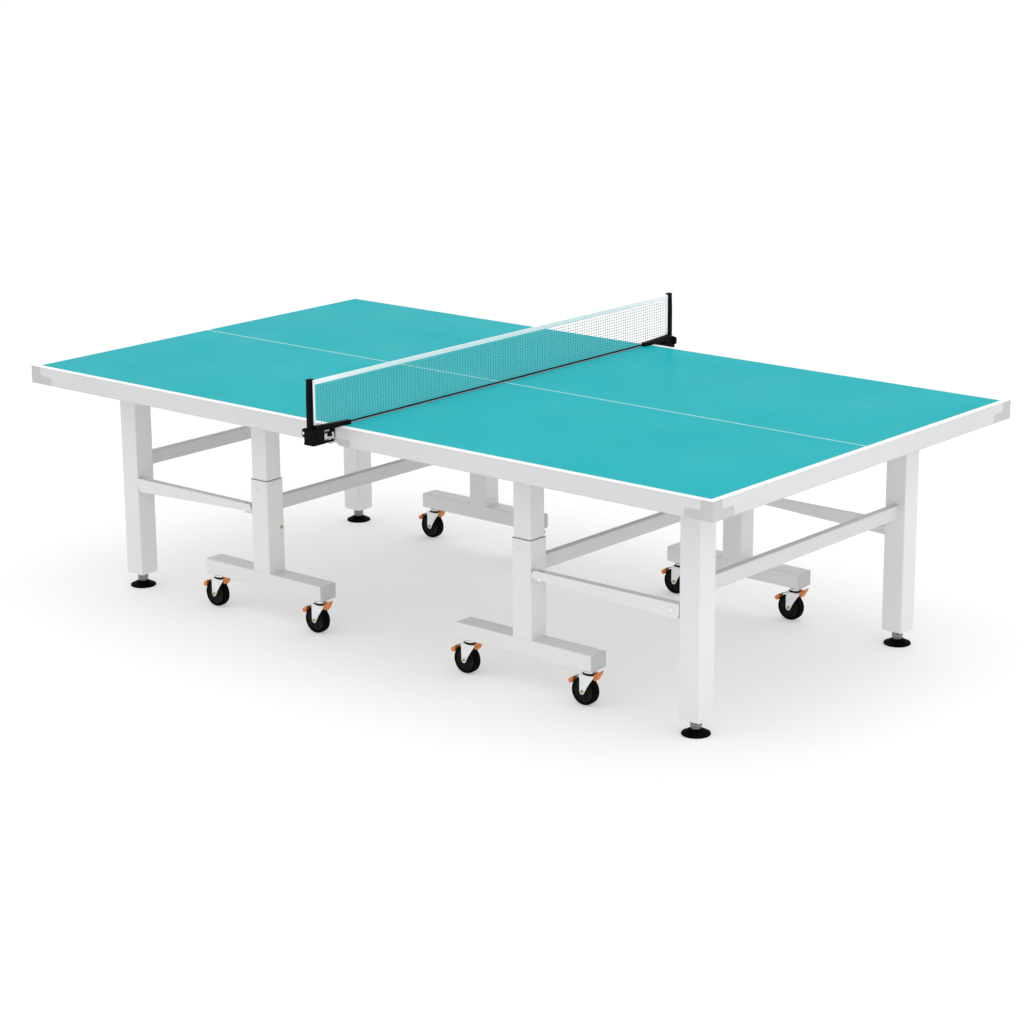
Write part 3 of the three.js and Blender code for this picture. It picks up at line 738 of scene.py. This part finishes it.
# square frame, open in the middle, between two heights
def squareRing(middleX, middleY, outer, inner, bottom, top, edge):
    shape = bmesh.new()
    square = shape.faces.new([shape.verts.new((x * outer / 2, y * outer / 2, 0))
                              for x, y in ((-1, -1), (1, -1), (1, 1), (-1, 1))])
    bmesh.ops.inset_region(shape, faces=[square], thickness=(outer - inner) / 2, use_boundary=True,
                           use_even_offset=True)
    bmesh.ops.delete(shape, geom=[square], context="FACES_ONLY")
    raised = bmesh.ops.extrude_face_region(shape, geom=shape.faces[:])
    lifted = [v for v in raised["geom"] if isinstance(v, bmesh.types.BMVert)]
    bmesh.ops.translate(shape, vec=(0, 0, top - bottom), verts=lifted)
    bmesh.ops.recalc_face_normals(shape, faces=shape.faces)
    softenEdges(shape, edge)
    bmesh.ops.translate(shape, vec=(middleX, middleY, bottom), verts=shape.verts)
    return kept(shape)


# bush, end plugs, screws and welds of one wheel base
def makeBaseFittings(half, row):
    base = f"{half}_{row}_wheel_base"
    low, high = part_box(base)
    legLow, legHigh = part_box(f"{half}_{row}_wheel_leg_upper")
    barLow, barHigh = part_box(f"{half}_wheel_leg_crossbar")
    toNet, outY = -halves[half], rows[row]
    legX = (barLow.x + barHigh.x) / 2
    legY = (low.y + high.y) / 2
    upperHalf = (legHigh.y - legLow.y) / 2
    sleeveHalf = tubeFittings["sleeveHalf"]
    beamTop = tubeFittings["beamTop"]
    sleeveTop = high.z

    bush = bmesh.new()
    outer = 2 * upperHalf + 2 * tubeFittings["bushWall"]
    inner = 2 * upperHalf + tubeFittings["bushPlay"]
    stamp(bush, squareRing(legX, legY, outer, inner, sleeveTop - tubeFittings["bushDepth"],
                           sleeveTop + tubeFittings["bushLip"], 0.3 * mm))
    finish(f"{half}_{row}_sleeve_bush", bush, f"{half}_base", [greyPlastic])

    plugs = bmesh.new()
    for end, out in ((low.x, -1), (high.x, 1)):
        wide = tubeFittings["plugHalfWidth"]
        inner = (end - out * tubeFittings["plugInside"], legY - wide, beamTop - tubeFittings["plugFoot"])
        outer = (end + out * tubeFittings["plugDepth"], legY + wide, beamTop - tubeFittings["plugTop"])
        stamp(plugs, block(inner, outer, tubeFittings["plugEdge"], 3))
    finish(f"{half}_{row}_beam_plugs", plugs, f"{half}_base", [greyPlastic])

    bolts = bmesh.new()
    face = Vector((legX - tubeFittings["sleeveScrewOffset"], legY + outY * sleeveHalf,
                   sleeveTop - tubeFittings["sleeveScrewDrop"]))
    stamp(bolts, screwHead(face, (0, outY, 0), *tubeFittings["sleeveScrew"]))
    knob = Vector((legX + toNet * sleeveHalf, legY, sleeveTop - tubeFittings["lockKnobDrop"]))
    radius = tubeFittings["lockKnobRadius"]
    cap = [(0, 0), (radius, 0), (radius, 2.6 * mm), (radius * 0.86, 3.6 * mm), (0, 3.9 * mm)]
    stamp(bolts, turned(cap, knob, (toNet, 0, 0), 32))
    tie = Vector((legX + toNet * sleeveHalf, legY - outY * tubeFittings["tieBoltOffset"],
                  sleeveTop - tubeFittings["tieBoltDrop"]))
    stamp(bolts, boltHead(tie, (toNet, 0, 0), *tubeFittings["tieBolt"], 1))
    finish(f"{half}_{row}_sleeve_screws", bolts, f"{half}_base", [legCoat, goldZinc])

    welds = bmesh.new()
    reach = sleeveHalf - mm
    stamp(welds, weldBead((legX, legY, beamTop), (1, 0, 0), (0, 1, 0), reach, reach - mm))
    finish(f"{half}_{row}_sleeve_weld", welds, f"{half}_base", [legCoat])


# welds where a cross-bar meets its two legs
def makeBarWelds(half, bar, body):
    low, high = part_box(f"{half}_{bar}")
    middle = (low + high) / 2
    welds = bmesh.new()
    for y in (low.y, high.y):
        stamp(welds, weldBead((middle.x, y, middle.z), (1, 0, 0), (0, 0, 1),
                              (high.x - low.x) / 2, (high.z - low.z) / 2))
    finish(f"{half}_{bar}_welds", welds, body, [legCoat])


# rivets at both ends of a side link, over its pins
def makeLinkRivets(half, row):
    low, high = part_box(f"{half}_{row}_side_link")
    pivot = pivotOf[f"{half}_{row}_link_hinge"]
    farEnd = low.x + high.x - pivot.x
    rivets = bmesh.new()
    head = [(r * mm, z * mm) for r, z in tubeFittings["rivetHead"]]
    sink = tubeFittings["rivetSink"]
    for x in (pivot.x, farEnd):
        for y, out in ((low.y, -1), (high.y, 1)):
            stamp(rivets, turned(head, (x, y - out * sink, pivot.z), (0, out, 0), 24))
    finish(f"{half}_{row}_link_rivets", rivets, f"{half}_{row}_link", [zinc])


# washers and split nuts on the fold hinge pins, outside each pair of rails
def makeHingeNuts(half):
    nuts = bmesh.new()
    for pivot in (pivotOf[f"{half}_fold"], pivotOf[f"{half}_end_legs_hinge"]):
        for ySign in rows.values():
            for out, y in tubeFittings["railFaces"].items():
                place = (pivot.x, ySign * y, pivot.z)
                stamp(nuts, boltHead(place, (0, ySign * out, 0), *tubeFittings["hingeNut"]))
    finish(f"{half}_hinge_nuts", nuts, f"{half}_top", [zinc])


for half in halves:
    makeBarWelds(half, "wheel_leg_crossbar", f"{half}_base")
    makeBarWelds(half, "corner_leg_crossbar", f"{half}_end_legs")
    makeHingeNuts(half)
    for row in rows:
        makeBaseFittings(half, row)
        makeLinkRivets(half, row)
print("tube fittings made")


casterLook = {
    "forkInside": 15.5 * mm,
    "sheet": 2.5 * mm,
    "crownTop": 97 * mm,
    "forkBend": 5 * mm,
    "crownHalfLength": 26 * mm,
    "tipRadius": 9 * mm,  # round the axle
    "tipPull": (13 * mm, 27 * mm),  # bends the cheek's front edge
    "ribs": 6,
    "axleRadius": 4 * mm,
    "axleBolt": (7.6 * mm, 3.8 * mm),  # across flats and height
    "pedalScrew": (3.6 * mm, 1.6 * mm),  # radius and height
    "pedalPivot": 90 * mm,
    "pedalTilt": 8.7,  # degrees
    "pedalReach": 52 * mm,
    "pedalDroop": 9 * mm,
    "stripWidth": 17 * mm,
    "stripThickness": 2.2 * mm,
    "eyeRadius": 4.2 * mm,
    "eyeHalf": 14.6 * mm,
    "wedgeWidth": 24 * mm,
    "plateHalf": 29 * mm,  # square top plate
    "plateFoot": 113.6 * mm,
    "plateTop": 115.1 * mm,
    "plateScrew": (3.4 * mm, 1.8 * mm),
    "plateScrewReach": 23 * mm,
}


# pressed fork: a crown bent down at both sides, and a cheek below each bend that narrows in a
# hollow curve to the axle
def forkShapes(axle):
    look = casterLook
    outside = look["forkInside"] + look["sheet"]
    bendY, bendZ = outside - look["forkBend"], look["crownTop"] - look["forkBend"]
    outer = arc(-bendY, bendZ, look["forkBend"], 180, 90, 5) + arc(bendY, bendZ, look["forkBend"], 90, 0, 5)
    innerRadius = look["forkBend"] - look["sheet"]
    inner = arc(bendY, bendZ, innerRadius, 0, 90, 5) + arc(-bendY, bendZ, innerRadius, 90, 180, 5)
    back, front = axle.x - look["tipRadius"], look["crownHalfLength"]
    shapes = [placed(plate(outer + inner, front - back), standingAcross(back))]
    tip = arc(axle.x, axle.z, look["tipRadius"], -180, -20, 10)
    top = Vector((front, bendZ + 0.5 * mm))
    start = Vector(tip[-1])
    pull = start + Vector(look["tipPull"])
    steps = 8
    curve = []
    for i in range(1, steps + 1):
        t = i / steps
        curve.append(tuple((1 - t) ** 2 * start + 2 * t * (1 - t) * pull + t * t * top))
    outline = tip + curve + [(back, top.y)]
    for y in (-outside, outside - look["sheet"]):
        cheek = plate(outline, look["sheet"], 0.6 * mm)
        shapes.append(placed(cheek, standing((0, y + look["sheet"], 0))))
    return shapes


# swivel bearing above the crown, from its lower seal up; each outline is (radius, z) in mm. The two black rubber
# rings are partly seals and partly painted shade for the dark gaps above and below the race.
def bearingShapes():
    lowerSealAndGapShade = [(0, 96.8), (21, 96.8), (22, 98), (21.4, 100), (17, 101.8), (0, 101.8)]
    race = [(0, 101.2), (18, 101.2), (19.4, 102.6), (19.4, 106.6), (17.6, 108.4), (0, 108.4)]
    dustSealAndGapShade = [(0, 108), (17, 108), (18.2, 109.4), (17.8, 112.2), (0, 113.3)]
    shapes = []
    # material 1 is the black rubber of the seals, which also paints the shade in the bearing's gaps
    for profile, material in ((lowerSealAndGapShade, 1), (race, 0), (dustSealAndGapShade, 1)):
        points = [(r * mm, z * mm) for r, z in profile]
        shapes.append(turned(points, (0, 0, 0), (0, 0, 1), 40, 0, material))
    return shapes


# tyre and ribbed centre; each half outline is (radius, half width) in mm
def wheelShapes(axle):
    tyre = [(33, 12.4), (35.5, 13.4), (38.5, 13.9), (41.2, 12.6), (42.6, 9.6), (43, 6)]
    centre = [(4.4, 14.7), (8.4, 14.7), (9.6, 13.6), (10.6, 10.6), (14, 9.8), (28, 9.8), (31, 11.4),
              (33.6, 12.2)]
    shapes = []
    for profile, material in ((tyre, 0), (centre, 1)):
        mirrored = [(r, -y) for r, y in profile[::-1]]
        loop = [(r * mm, y * mm) for r, y in profile + mirrored]
        shapes.append(turned(loop + loop[:1], axle, (0, 1, 0), 64, 0, material))
    rib = block((12 * mm, 9.4 * mm, -1.3 * mm), (31 * mm, 11.4 * mm, 1.3 * mm), 0.6 * mm, 2, 1)
    for i in range(casterLook["ribs"]):
        turn = Matrix.Rotation(2 * math.pi * i / casterLook["ribs"], 4, "Y")
        for flip in (0, math.pi):
            place = Matrix.Translation(axle) @ Matrix.Rotation(flip, 4, "Z") @ turn
            copy = rib.copy()
            copy.transform(place)
            shapes.append(copy)
    return shapes


# brake rocker over the wheel: steel strip with a wedge of orange plastic on each end. The strip is drawn in the
# dark turned steel, which is partly its own colour and partly painted shade.
def pedalShapes(axle):
    look = casterLook
    reach = look["pedalReach"]
    place = Matrix.Translation((axle.x, 0, look["pedalPivot"])) @ Matrix.Rotation(
        -math.radians(look["pedalTilt"]), 4, "Y")
    strip = bmesh.new()
    size = Matrix.Diagonal((1.7 * reach, look["stripWidth"], look["stripThickness"], 1))
    bmesh.ops.create_cube(strip, size=1, matrix=size)
    long = [e for e in strip.edges if abs(e.verts[0].co.x - e.verts[1].co.x) > mm]
    bmesh.ops.subdivide_edges(strip, edges=long, cuts=11, use_grid_fill=True)
    for vertex in strip.verts:
        along = vertex.co.x / reach
        vertex.co.z -= look["pedalDroop"] * along * along
        vertex.co.y *= 1 - 0.25 * max(0, 1 - abs(along) * 2.5)
    softenEdges(strip, 0.5 * mm, 2, 40)
    # material 1, the dark turned steel, is partly the strip's own colour and partly painted shade
    shapes = [placed(strip, place, 1)]
    eye = rod((0, -look["eyeHalf"], 0), (0, look["eyeHalf"], 0), look["eyeRadius"], None, 24, 0.4 * mm, 1)
    eye.transform(place)
    shapes.append(eye)
    raised = [(25, 0.4), (38, 3), (57, 12), (60, 12.8), (60.6, 10.4), (54, 1.5), (45, -9.5), (41, -14.6),
              (37.5, -13), (33.5, -8), (25, -4.6)]
    lowered = [(39, -3.2), (50, -8), (57, -12), (59, -16.5), (57.5, -21.5), (51.5, -24.5), (45.5, -23),
               (40.5, -13)]
    for side, flip in ((raised, 0), (lowered, math.pi)):
        wedge = plate([(x * mm, z * mm) for x, z in side], look["wedgeWidth"], 1.2 * mm, 3)
        bmesh.ops.transform(wedge, matrix=standing((0, look["wedgeWidth"] / 2, 0)), verts=wedge.verts)
        for vertex in wedge.verts:
            vertex.co.y *= 0.72 + 0.28 * min(1, max(0, (vertex.co.x - 25 * mm) / (16 * mm)))
        shapes.append(placed(wedge, place @ Matrix.Rotation(flip, 4, "Z")))
    return shapes


def makeCaster(stem, base):
    look = casterLook
    swivel = pivotOf[f"{stem}_swivel"]
    wheelAxle = pivotOf[f"{stem}_spin"]
    axle = Vector((wheelAxle.x - swivel.x, 0, wheelAxle.z))
    place = Matrix.Translation((swivel.x, swivel.y, 0))

    fork = bmesh.new()
    for mesh in forkShapes(axle) + bearingShapes():
        stamp(fork, mesh, place)
    outside = look["forkInside"] + look["sheet"]
    for out in (-1, 1):
        face = (axle.x, out * outside, axle.z)
        stamp(fork, boltHead(face, (0, out, 0), *look["axleBolt"], 2), place)
        pin = (axle.x, out * outside, look["pedalPivot"])
        stamp(fork, screwHead(pin, (0, out, 0), *look["pedalScrew"]), place)
    pinStart = (axle.x, -outside, axle.z)
    pinEnd = (axle.x, outside, axle.z)
    stamp(fork, rod(pinStart, pinEnd, look["axleRadius"], None, 20, 0, 2), place)
    finish(f"{stem}_fork_finished", fork, f"{stem}_fork", [zinc, rubber, goldZinc],
           [f"{stem}_caster_fork"])

    wheel = bmesh.new()
    for mesh in wheelShapes(axle):
        stamp(wheel, mesh, place)
    finish(f"{stem}_wheel_finished", wheel, f"{stem}_wheel", [rubber, wheelPlastic],
           [f"{stem}_caster_wheel"])

    pedal = bmesh.new()
    for mesh in pedalShapes(axle):
        stamp(pedal, mesh, place)
    # the pedal's strip takes the dark steel, partly as painted shade
    finish(f"{stem}_pedal_finished", pedal, f"{stem}_pedal", [orange, steel],
           [f"{stem}_brake_pedal"])

    topPlate = bmesh.new()
    wide, foot, reach = look["plateHalf"], look["plateFoot"], look["plateScrewReach"]
    stamp(topPlate, block((-wide, -wide, foot), (wide, wide, look["plateTop"]), 0.5 * mm), place)
    for a in (-1, 1):
        for b in (-1, 1):
            head = (a * reach, b * reach, foot + 0.2 * mm)
            stamp(topPlate, screwHead(head, (0, 0, -1), *look["plateScrew"]), place)
    finish(f"{stem}_top_plate", topPlate, base, [zinc])


for half in halves:
    for row in rows:
        for end in casterEnds:
            makeCaster(f"{half}_{row}_{end}", f"{half}_base")
print("casters made")


footLook = {
    # (radius, height) in mm
    "padProfile": [(0, 0), (40.6, 0), (42, 1.3), (42, 4.2), (41, 5.8), (38.6, 6.8), (33, 9.4), (27, 12.6),
                   (22, 15.6), (19, 17.4), (16.5, 18.6), (0, 18.6)],
    "collarProfile": [(0, 18.2), (14.6, 18.2), (14.6, 23), (16, 24.2), (17, 25.2), (17, 45.4),
                      (16, 46.5), (0, 46.5)],
    "studRadius": 5.9 * mm,
    "threadPitch": 1.75 * mm,
    "threadDepth": 0.7 * mm,
    "holes": 4,  # tommy bar holes round the collar, each drawn as a black disc of painted shade
    "holeTurn": 35,  # degrees
    "holeHeight": 36 * mm,
    "holeShadeDiscRadius": 2.6 * mm,
    "holeSpan": (14 * mm, 17.05 * mm),  # from the foot's axis
}


def makeFoot(half, row):
    nodeName = f"{half}_{row}_levelling_foot"
    low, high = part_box(nodeName)
    centre = Vector(((low.x + high.x) / 2, (low.y + high.y) / 2, low.z))
    pad = [(r * mm, z * mm) for r, z in footLook["padProfile"]]
    collar = [(r * mm, z * mm) for r, z in footLook["collarProfile"]]
    shape = bmesh.new()
    stamp(shape, turned(pad, centre, (0, 0, 1), 72, 0, 0))
    stamp(shape, turned(collar, centre, (0, 0, 1), 48, 0, 1))
    start, radius = collar[-1][1] - mm, footLook["studRadius"]
    thread = [(0, start)]
    for i in range(int((high.z - low.z - start) / footLook["threadPitch"]) - 1):
        z = start + i * footLook["threadPitch"]
        thread += [(radius, z), (radius - footLook["threadDepth"], z + footLook["threadPitch"] / 2)]
    thread.append((0, thread[-1][1]))
    stamp(shape, turned(thread, centre, (0, 0, 1), 20, 0, 1))
    # Each hole is a short black rubber rod that ends just outside the collar's face. This makes a disc of painted
    # shade where the hole's dark inside would be.
    for i in range(footLook["holes"]):
        turn = math.radians(footLook["holeTurn"]) + 2 * math.pi * i / footLook["holes"]
        out = Vector((math.cos(turn), math.sin(turn), 0))
        hole = centre + Vector((0, 0, footLook["holeHeight"]))
        start, end = (hole + out * reach for reach in footLook["holeSpan"])
        stamp(shape, rod(start, end, footLook["holeShadeDiscRadius"], None, 16))
    finish(nodeName + "_finished", shape, bodyOf[nodeName], [rubber, steel], [nodeName])


for half in halves:
    for row in rows:
        makeFoot(half, row)
print("feet made")


netLook = {
    "cellWidth": 12 * mm,
    "cellHeight": 9 * mm,
    "foot": 763.2 * mm,
    "blockTop": 769.4 * mm,  # over the clamp blocks the net stands clear of them
    "blockInner": 822.2 * mm,
    "twine": 0.34 * mm,  # radius
    "knot": 1.7 * mm,
    "slack": 0.5 * mm,  # how far the twines stray from straight
    "shortest": 2 * mm,  # a twine's length between two knots
    "band": 14.5 * mm,
    "sideFoot": 771 * mm,
    "stitchLength": 3.0 * mm,
    "stitchPitch": 5.0 * mm,
    "stitchRadius": 0.35 * mm,
    "stitchInset": 2.2 * mm,  # from the tape's edge
    "tapeFold": 1.3 * mm,
}


# square net of thin twines with a dark knot at each crossing
def makeNetMesh():
    look = netLook
    low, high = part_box("net_mesh")
    random.seed(11)
    columns = round((high.y - low.y) / look["cellWidth"])
    lines = round((high.z - look["foot"]) / look["cellHeight"])
    stepY = (high.y - low.y) / columns
    stepZ = (high.z - look["foot"]) / lines
    shape = bmesh.new()
    knot = bmesh.new()
    bmesh.ops.create_icosphere(knot, subdivisions=1, radius=look["knot"])
    knotMesh = kept(knot, 1)

    def crossing(column, line):
        y = low.y + column * stepY
        z = look["foot"] + line * stepZ
        if abs(y) > look["blockInner"]:
            z = max(z, look["blockTop"])
        return Vector((0, y, z))

    places = {}
    for column in range(columns + 1):
        for line in range(lines + 1):
            inside = 0 < column < columns and 0 < line < lines
            stray = look["slack"] if inside else 0
            offset = Vector((0.3 * stray * random.uniform(-1, 1), stray * random.uniform(-1, 1),
                             stray * random.uniform(-1, 1)))
            places[column, line] = crossing(column, line) + offset
    for (column, line), place in places.items():
        for nextOne in ((column + 1, line), (column, line + 1)):
            if nextOne in places and (places[nextOne] - place).length > look["shortest"]:
                stamp(shape, rod(place, places[nextOne], look["twine"], None, 4))
        if 0 < column < columns and 0 < line < lines:
            stamp(shape, knotMesh, Matrix.Translation(place))
    return finish("net_twines", shape, bodyOf["net_mesh"], [twine, knotTwine], ["net_mesh"])


# a flat tape folded over the net's edge, from one corner of its box to the other
def tapeBand(low, high):
    return block(low, high, netLook["tapeFold"], 3)


# running stitches along a line on both faces of the tape
def stitches(piece, start, end, faceX):
    run = end - start
    count = int(run.length / netLook["stitchPitch"])
    for i in range(count):
        first = start + run * ((i + 0.2) / count)
        last = first + run.normalized() * netLook["stitchLength"]
        for side in (-1, 1):
            offset = Vector((side * faceX, 0, 0))
            stamp(piece, rod(first + offset, last + offset, netLook["stitchRadius"], None, 5))


def makeNetTapes():
    look = netLook
    low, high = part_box("net_tape")
    faceX = high.x - 0.15 * mm
    shape = bmesh.new()
    stamp(shape, tapeBand((low.x, low.y, high.z - look["band"]), (high.x, high.y, high.z)))
    inner = high.y - look["band"]
    sideTop = high.z - look["band"] + mm
    thinner = 0.2 * mm
    for ySign in rows.values():
        corner = (low.x + thinner, ySign * inner, look["sideFoot"])
        opposite = (high.x - thinner, ySign * (high.y - 0.3 * mm), sideTop)
        stamp(shape, tapeBand(corner, opposite))
    tapes = finish("net_tapes", shape, bodyOf["net_tape"], [tape], ["net_tape"])
    thread = bmesh.new()
    seamZ = high.z - look["band"] + look["stitchInset"]
    stitches(thread, Vector((0, low.y + 4 * mm, seamZ)), Vector((0, high.y - 4 * mm, seamZ)), faceX)
    for ySign in rows.values():
        seamY = ySign * (inner + look["stitchInset"])
        foot = look["sideFoot"] + 3 * mm
        stitches(thread, Vector((0, seamY, foot)), Vector((0, seamY, seamZ)), faceX - thinner)
    seam = finish("net_tape_stitches", thread, bodyOf["net_tape"], [linePaint])
    return tapes, seam


footCordLook = {
    "reach": 821.6 * mm,
    "middleZ": 763.7 * mm,
    "strand": 1.6 * mm,
    "spreadX": 0.3 * mm,
    "spreadZ": 1.4 * mm,
    "lay": 16 * mm,
}


# cord along the net's foot, laid in two strands
def makeFootCord():
    look = footCordLook
    turns = 2 * look["reach"] / look["lay"]
    steps = round(8 * turns)
    shape = bmesh.new()
    for phase in (0, math.pi):
        ring = bmesh.ops.create_circle(
            shape, segments=6, radius=look["strand"], matrix=standing((0, -look["reach"], look["middleZ"])),
        )["verts"]
        edges = list({edge for vertex in ring for edge in vertex.link_edges})
        bmesh.ops.holes_fill(shape, edges=edges)
        offset = Vector((0, 0, 0))
        for i in range(steps + 1):
            turn = phase + 2 * math.pi * turns * i / steps
            along = 2 * look["reach"] * i / steps
            target = Vector((look["spreadX"] * math.cos(turn), along, look["spreadZ"] * math.sin(turn)))
            if i:
                grown = bmesh.ops.extrude_edge_only(shape, edges=edges)["geom"]
                ring = [g for g in grown if isinstance(g, bmesh.types.BMVert)]
                edges = [g for g in grown if isinstance(g, bmesh.types.BMEdge)
                         and all(v in ring for v in g.verts)]
            bmesh.ops.translate(shape, vec=target - offset, verts=ring)
            offset = target
        bmesh.ops.holes_fill(shape, edges=edges)
    bmesh.ops.recalc_face_normals(shape, faces=shape.faces)
    return finish("net_foot_cord", shape, bodyOf["net_mesh"], [cordBraid])


postLook = {
    "cap": 3.4 * mm,
    "capLip": 5 * mm,  # the cap's tab over the end of the tape
    "shoulder": 858 * mm,  # above this the outer face leans in
    "lean": 2.4 * mm,
    "corner": 2.4 * mm,
    "capInset": 0.5 * mm,
    "capEdge": 1.2 * mm,
    "hookDepth": 1.6 * mm,
    "hookHalf": 3 * mm,
    "topHook": 15 * mm,  # below the post's top
    "footHook": 16 * mm,  # above its foot
    "spigotRadius": 6 * mm,
}


def makePost(row):
    nodeName = f"{row}_net_post"
    look = postLook
    low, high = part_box(nodeName)
    ySign = rows[row]
    outer, inner = (high.y, low.y) if ySign > 0 else (low.y, high.y)
    foot = netLook["blockTop"]
    bodyTop = high.z - look["cap"]
    outline = [(inner, foot), (outer, foot), (outer, look["shoulder"]),
               (outer - ySign * look["lean"], bodyTop), (inner, bodyTop)]
    body = plate(outline, high.x - low.x, look["corner"], 4)
    shape = bmesh.new()
    stamp(shape, placed(body, standingAcross(low.x)))
    narrower = 0.4 * mm
    outside = (low.x + narrower, outer - ySign * look["capInset"], bodyTop - 0.3 * mm)
    inside = (high.x - narrower, inner - ySign * look["capLip"], high.z)
    stamp(shape, block(outside, inside, look["capEdge"], 3))
    y = (low.y + high.y) / 2
    stamp(shape, rod((0, y, low.z), (0, y, foot + 4 * mm), look["spigotRadius"]))
    half = look["hookHalf"]
    for z in (high.z - look["topHook"], foot + look["footHook"]):
        outside = (-half, inner + ySign * mm, z - half)
        stamp(shape, block(outside, (half, inner - ySign * look["hookDepth"], z + half)))
    finish(nodeName + "_finished", shape, bodyOf[nodeName], [nylon], [nodeName])


clampLook = {
    "blockHalf": 18 * mm,
    "blockWidth": 48 * mm,
    "edge": 1.0 * mm,
    "baseFlare": 3.5 * mm,
    "baseHeight": 6 * mm,
    "baseEdge": 2.4 * mm,
    "earMiddle": 757 * mm,
    "earHalf": 5.5 * mm,  # from the ear's middle to the middle of its rounded ends
    "earRadius": 8 * mm,
    "earThickness": 9 * mm,
    "earStand": 3 * mm,  # the ear's middle outside the block's side
    "earInset": 1.6 * mm,  # behind the block's outer face
    "earScrew": (4.6 * mm, 1.8 * mm),  # radius and height
    "lipWidth": 5 * mm,
    "lipHeight": 2.2 * mm,
    "lipInset": 2.5 * mm,  # from the block's side
    "lipStart": 0.6 * mm,  # from the block's outer face
    "lipEnd": 20 * mm,
}


def makeClamp(row):
    nodeName = f"{row}_net_clamp"
    look = clampLook
    low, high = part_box(nodeName)
    ySign = rows[row]
    outer = high.y if ySign > 0 else low.y
    shape = finishedCopy(nodeName, look["edge"], 3)
    # flared base
    reach = look["blockHalf"] + look["baseFlare"]
    innerY = outer - ySign * (look["blockWidth"] + look["baseFlare"])
    opposite = (reach, innerY, low.z + look["baseHeight"])
    stamp(shape, block((-reach, outer, low.z), opposite, look["baseEdge"], 4))
    # socket lips at both sides of the post's foot
    top = netLook["blockTop"] - 0.2 * mm
    reach = look["blockHalf"] - look["lipInset"]
    for side in (-1, 1):
        corner = (side * (reach - look["lipWidth"]), outer - ySign * look["lipStart"], top - 2 * mm)
        opposite = (side * reach, outer - ySign * look["lipEnd"], top + look["lipHeight"])
        stamp(shape, block(corner, opposite, 0.9 * mm, 3))
    # ear with its cross screw, on the block's outer corner
    centreX = ySign * (look["blockHalf"] + look["earStand"])
    upper = arc(0, look["earHalf"], look["earRadius"], 0, 180, 10)
    lower = arc(0, -look["earHalf"], look["earRadius"], 180, 360, 10)
    ear = plate(upper + lower, look["earThickness"], 1.6 * mm, 3)
    face = outer - ySign * look["earInset"]
    highY = max(face, face - ySign * look["earThickness"])
    stamp(shape, placed(ear, standing((centreX, highY, look["earMiddle"]))))
    head = (centreX + ySign * mm, face - ySign * 0.4 * mm, look["earMiddle"] - mm)
    stamp(shape, screwHead(head, (0, ySign, 0), *look["earScrew"], 1))
    finish(nodeName + "_finished", shape, bodyOf[nodeName], [nylon, zinc], [nodeName])


screwLook = {
    "pitch": 1.25 * mm,
    "threadDepth": 0.6 * mm,
    "radius": 4 * mm,
    "knobLow": 739 * mm,
    "knobHigh": 747 * mm,
    "knobRadius": 8.6 * mm,
    "knobTopRadius": 5.6 * mm,
    "flutes": 14,
    "fluteRadius": 1.0 * mm,
    "fluteTopRadius": 0.7 * mm,
    "padRadius": 6 * mm,
    "padThickness": 1.8 * mm,
}


# clamp screw: threaded stem, fluted knob and the disc that presses under the clamp's pad
def makeClampScrew(row):
    nodeName = f"{row}_clamp_screw"
    look = screwLook
    low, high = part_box(nodeName)
    centre = Vector(((low.x + high.x) / 2, (low.y + high.y) / 2, 0))
    thread = [(0, low.z)]
    for i in range(int((high.z - low.z) / look["pitch"])):
        z = low.z + i * look["pitch"]
        thread += [(look["radius"] - look["threadDepth"], z), (look["radius"], z + look["pitch"] / 2)]
    thread.append((0, high.z))
    shape = bmesh.new()
    stamp(shape, turned(thread, centre, (0, 0, 1), 20, 0, 1))
    bottom, top = look["knobLow"], look["knobHigh"]
    wide, narrow = look["knobRadius"], look["knobTopRadius"]
    knob = [(0, bottom), (wide - 0.6 * mm, bottom), (wide, bottom + mm), (narrow + 0.8 * mm, top - mm),
            (narrow, top), (0, top)]
    stamp(shape, turned(knob, centre, (0, 0, 1), 48))
    for i in range(look["flutes"]):
        turn = 2 * math.pi * i / look["flutes"]
        out = Vector((math.cos(turn), math.sin(turn), 0))
        start = centre + out * (wide - 0.7 * mm) + Vector((0, 0, bottom + 0.6 * mm))
        end = centre + out * narrow + Vector((0, 0, top - 0.8 * mm))
        stamp(shape, rod(start, end, look["fluteRadius"], look["fluteTopRadius"], 8))
    wide, under = look["padRadius"], high.z - look["padThickness"]
    disc = [(0, under), (wide - 0.4 * mm, under), (wide, high.z - mm), (wide - mm, high.z), (0, high.z)]
    stamp(shape, turned(disc, centre, (0, 0, 1), 28))
    finish(nodeName + "_finished", shape, bodyOf[nodeName], [nylon, zinc], [nodeName])


net = makeNetMesh()
tapes, seam = makeNetTapes()
footCord = makeFootCord()
for row in rows:
    makePost(row)
    makeClamp(row)
    makeClampScrew(row)
print("net set made")
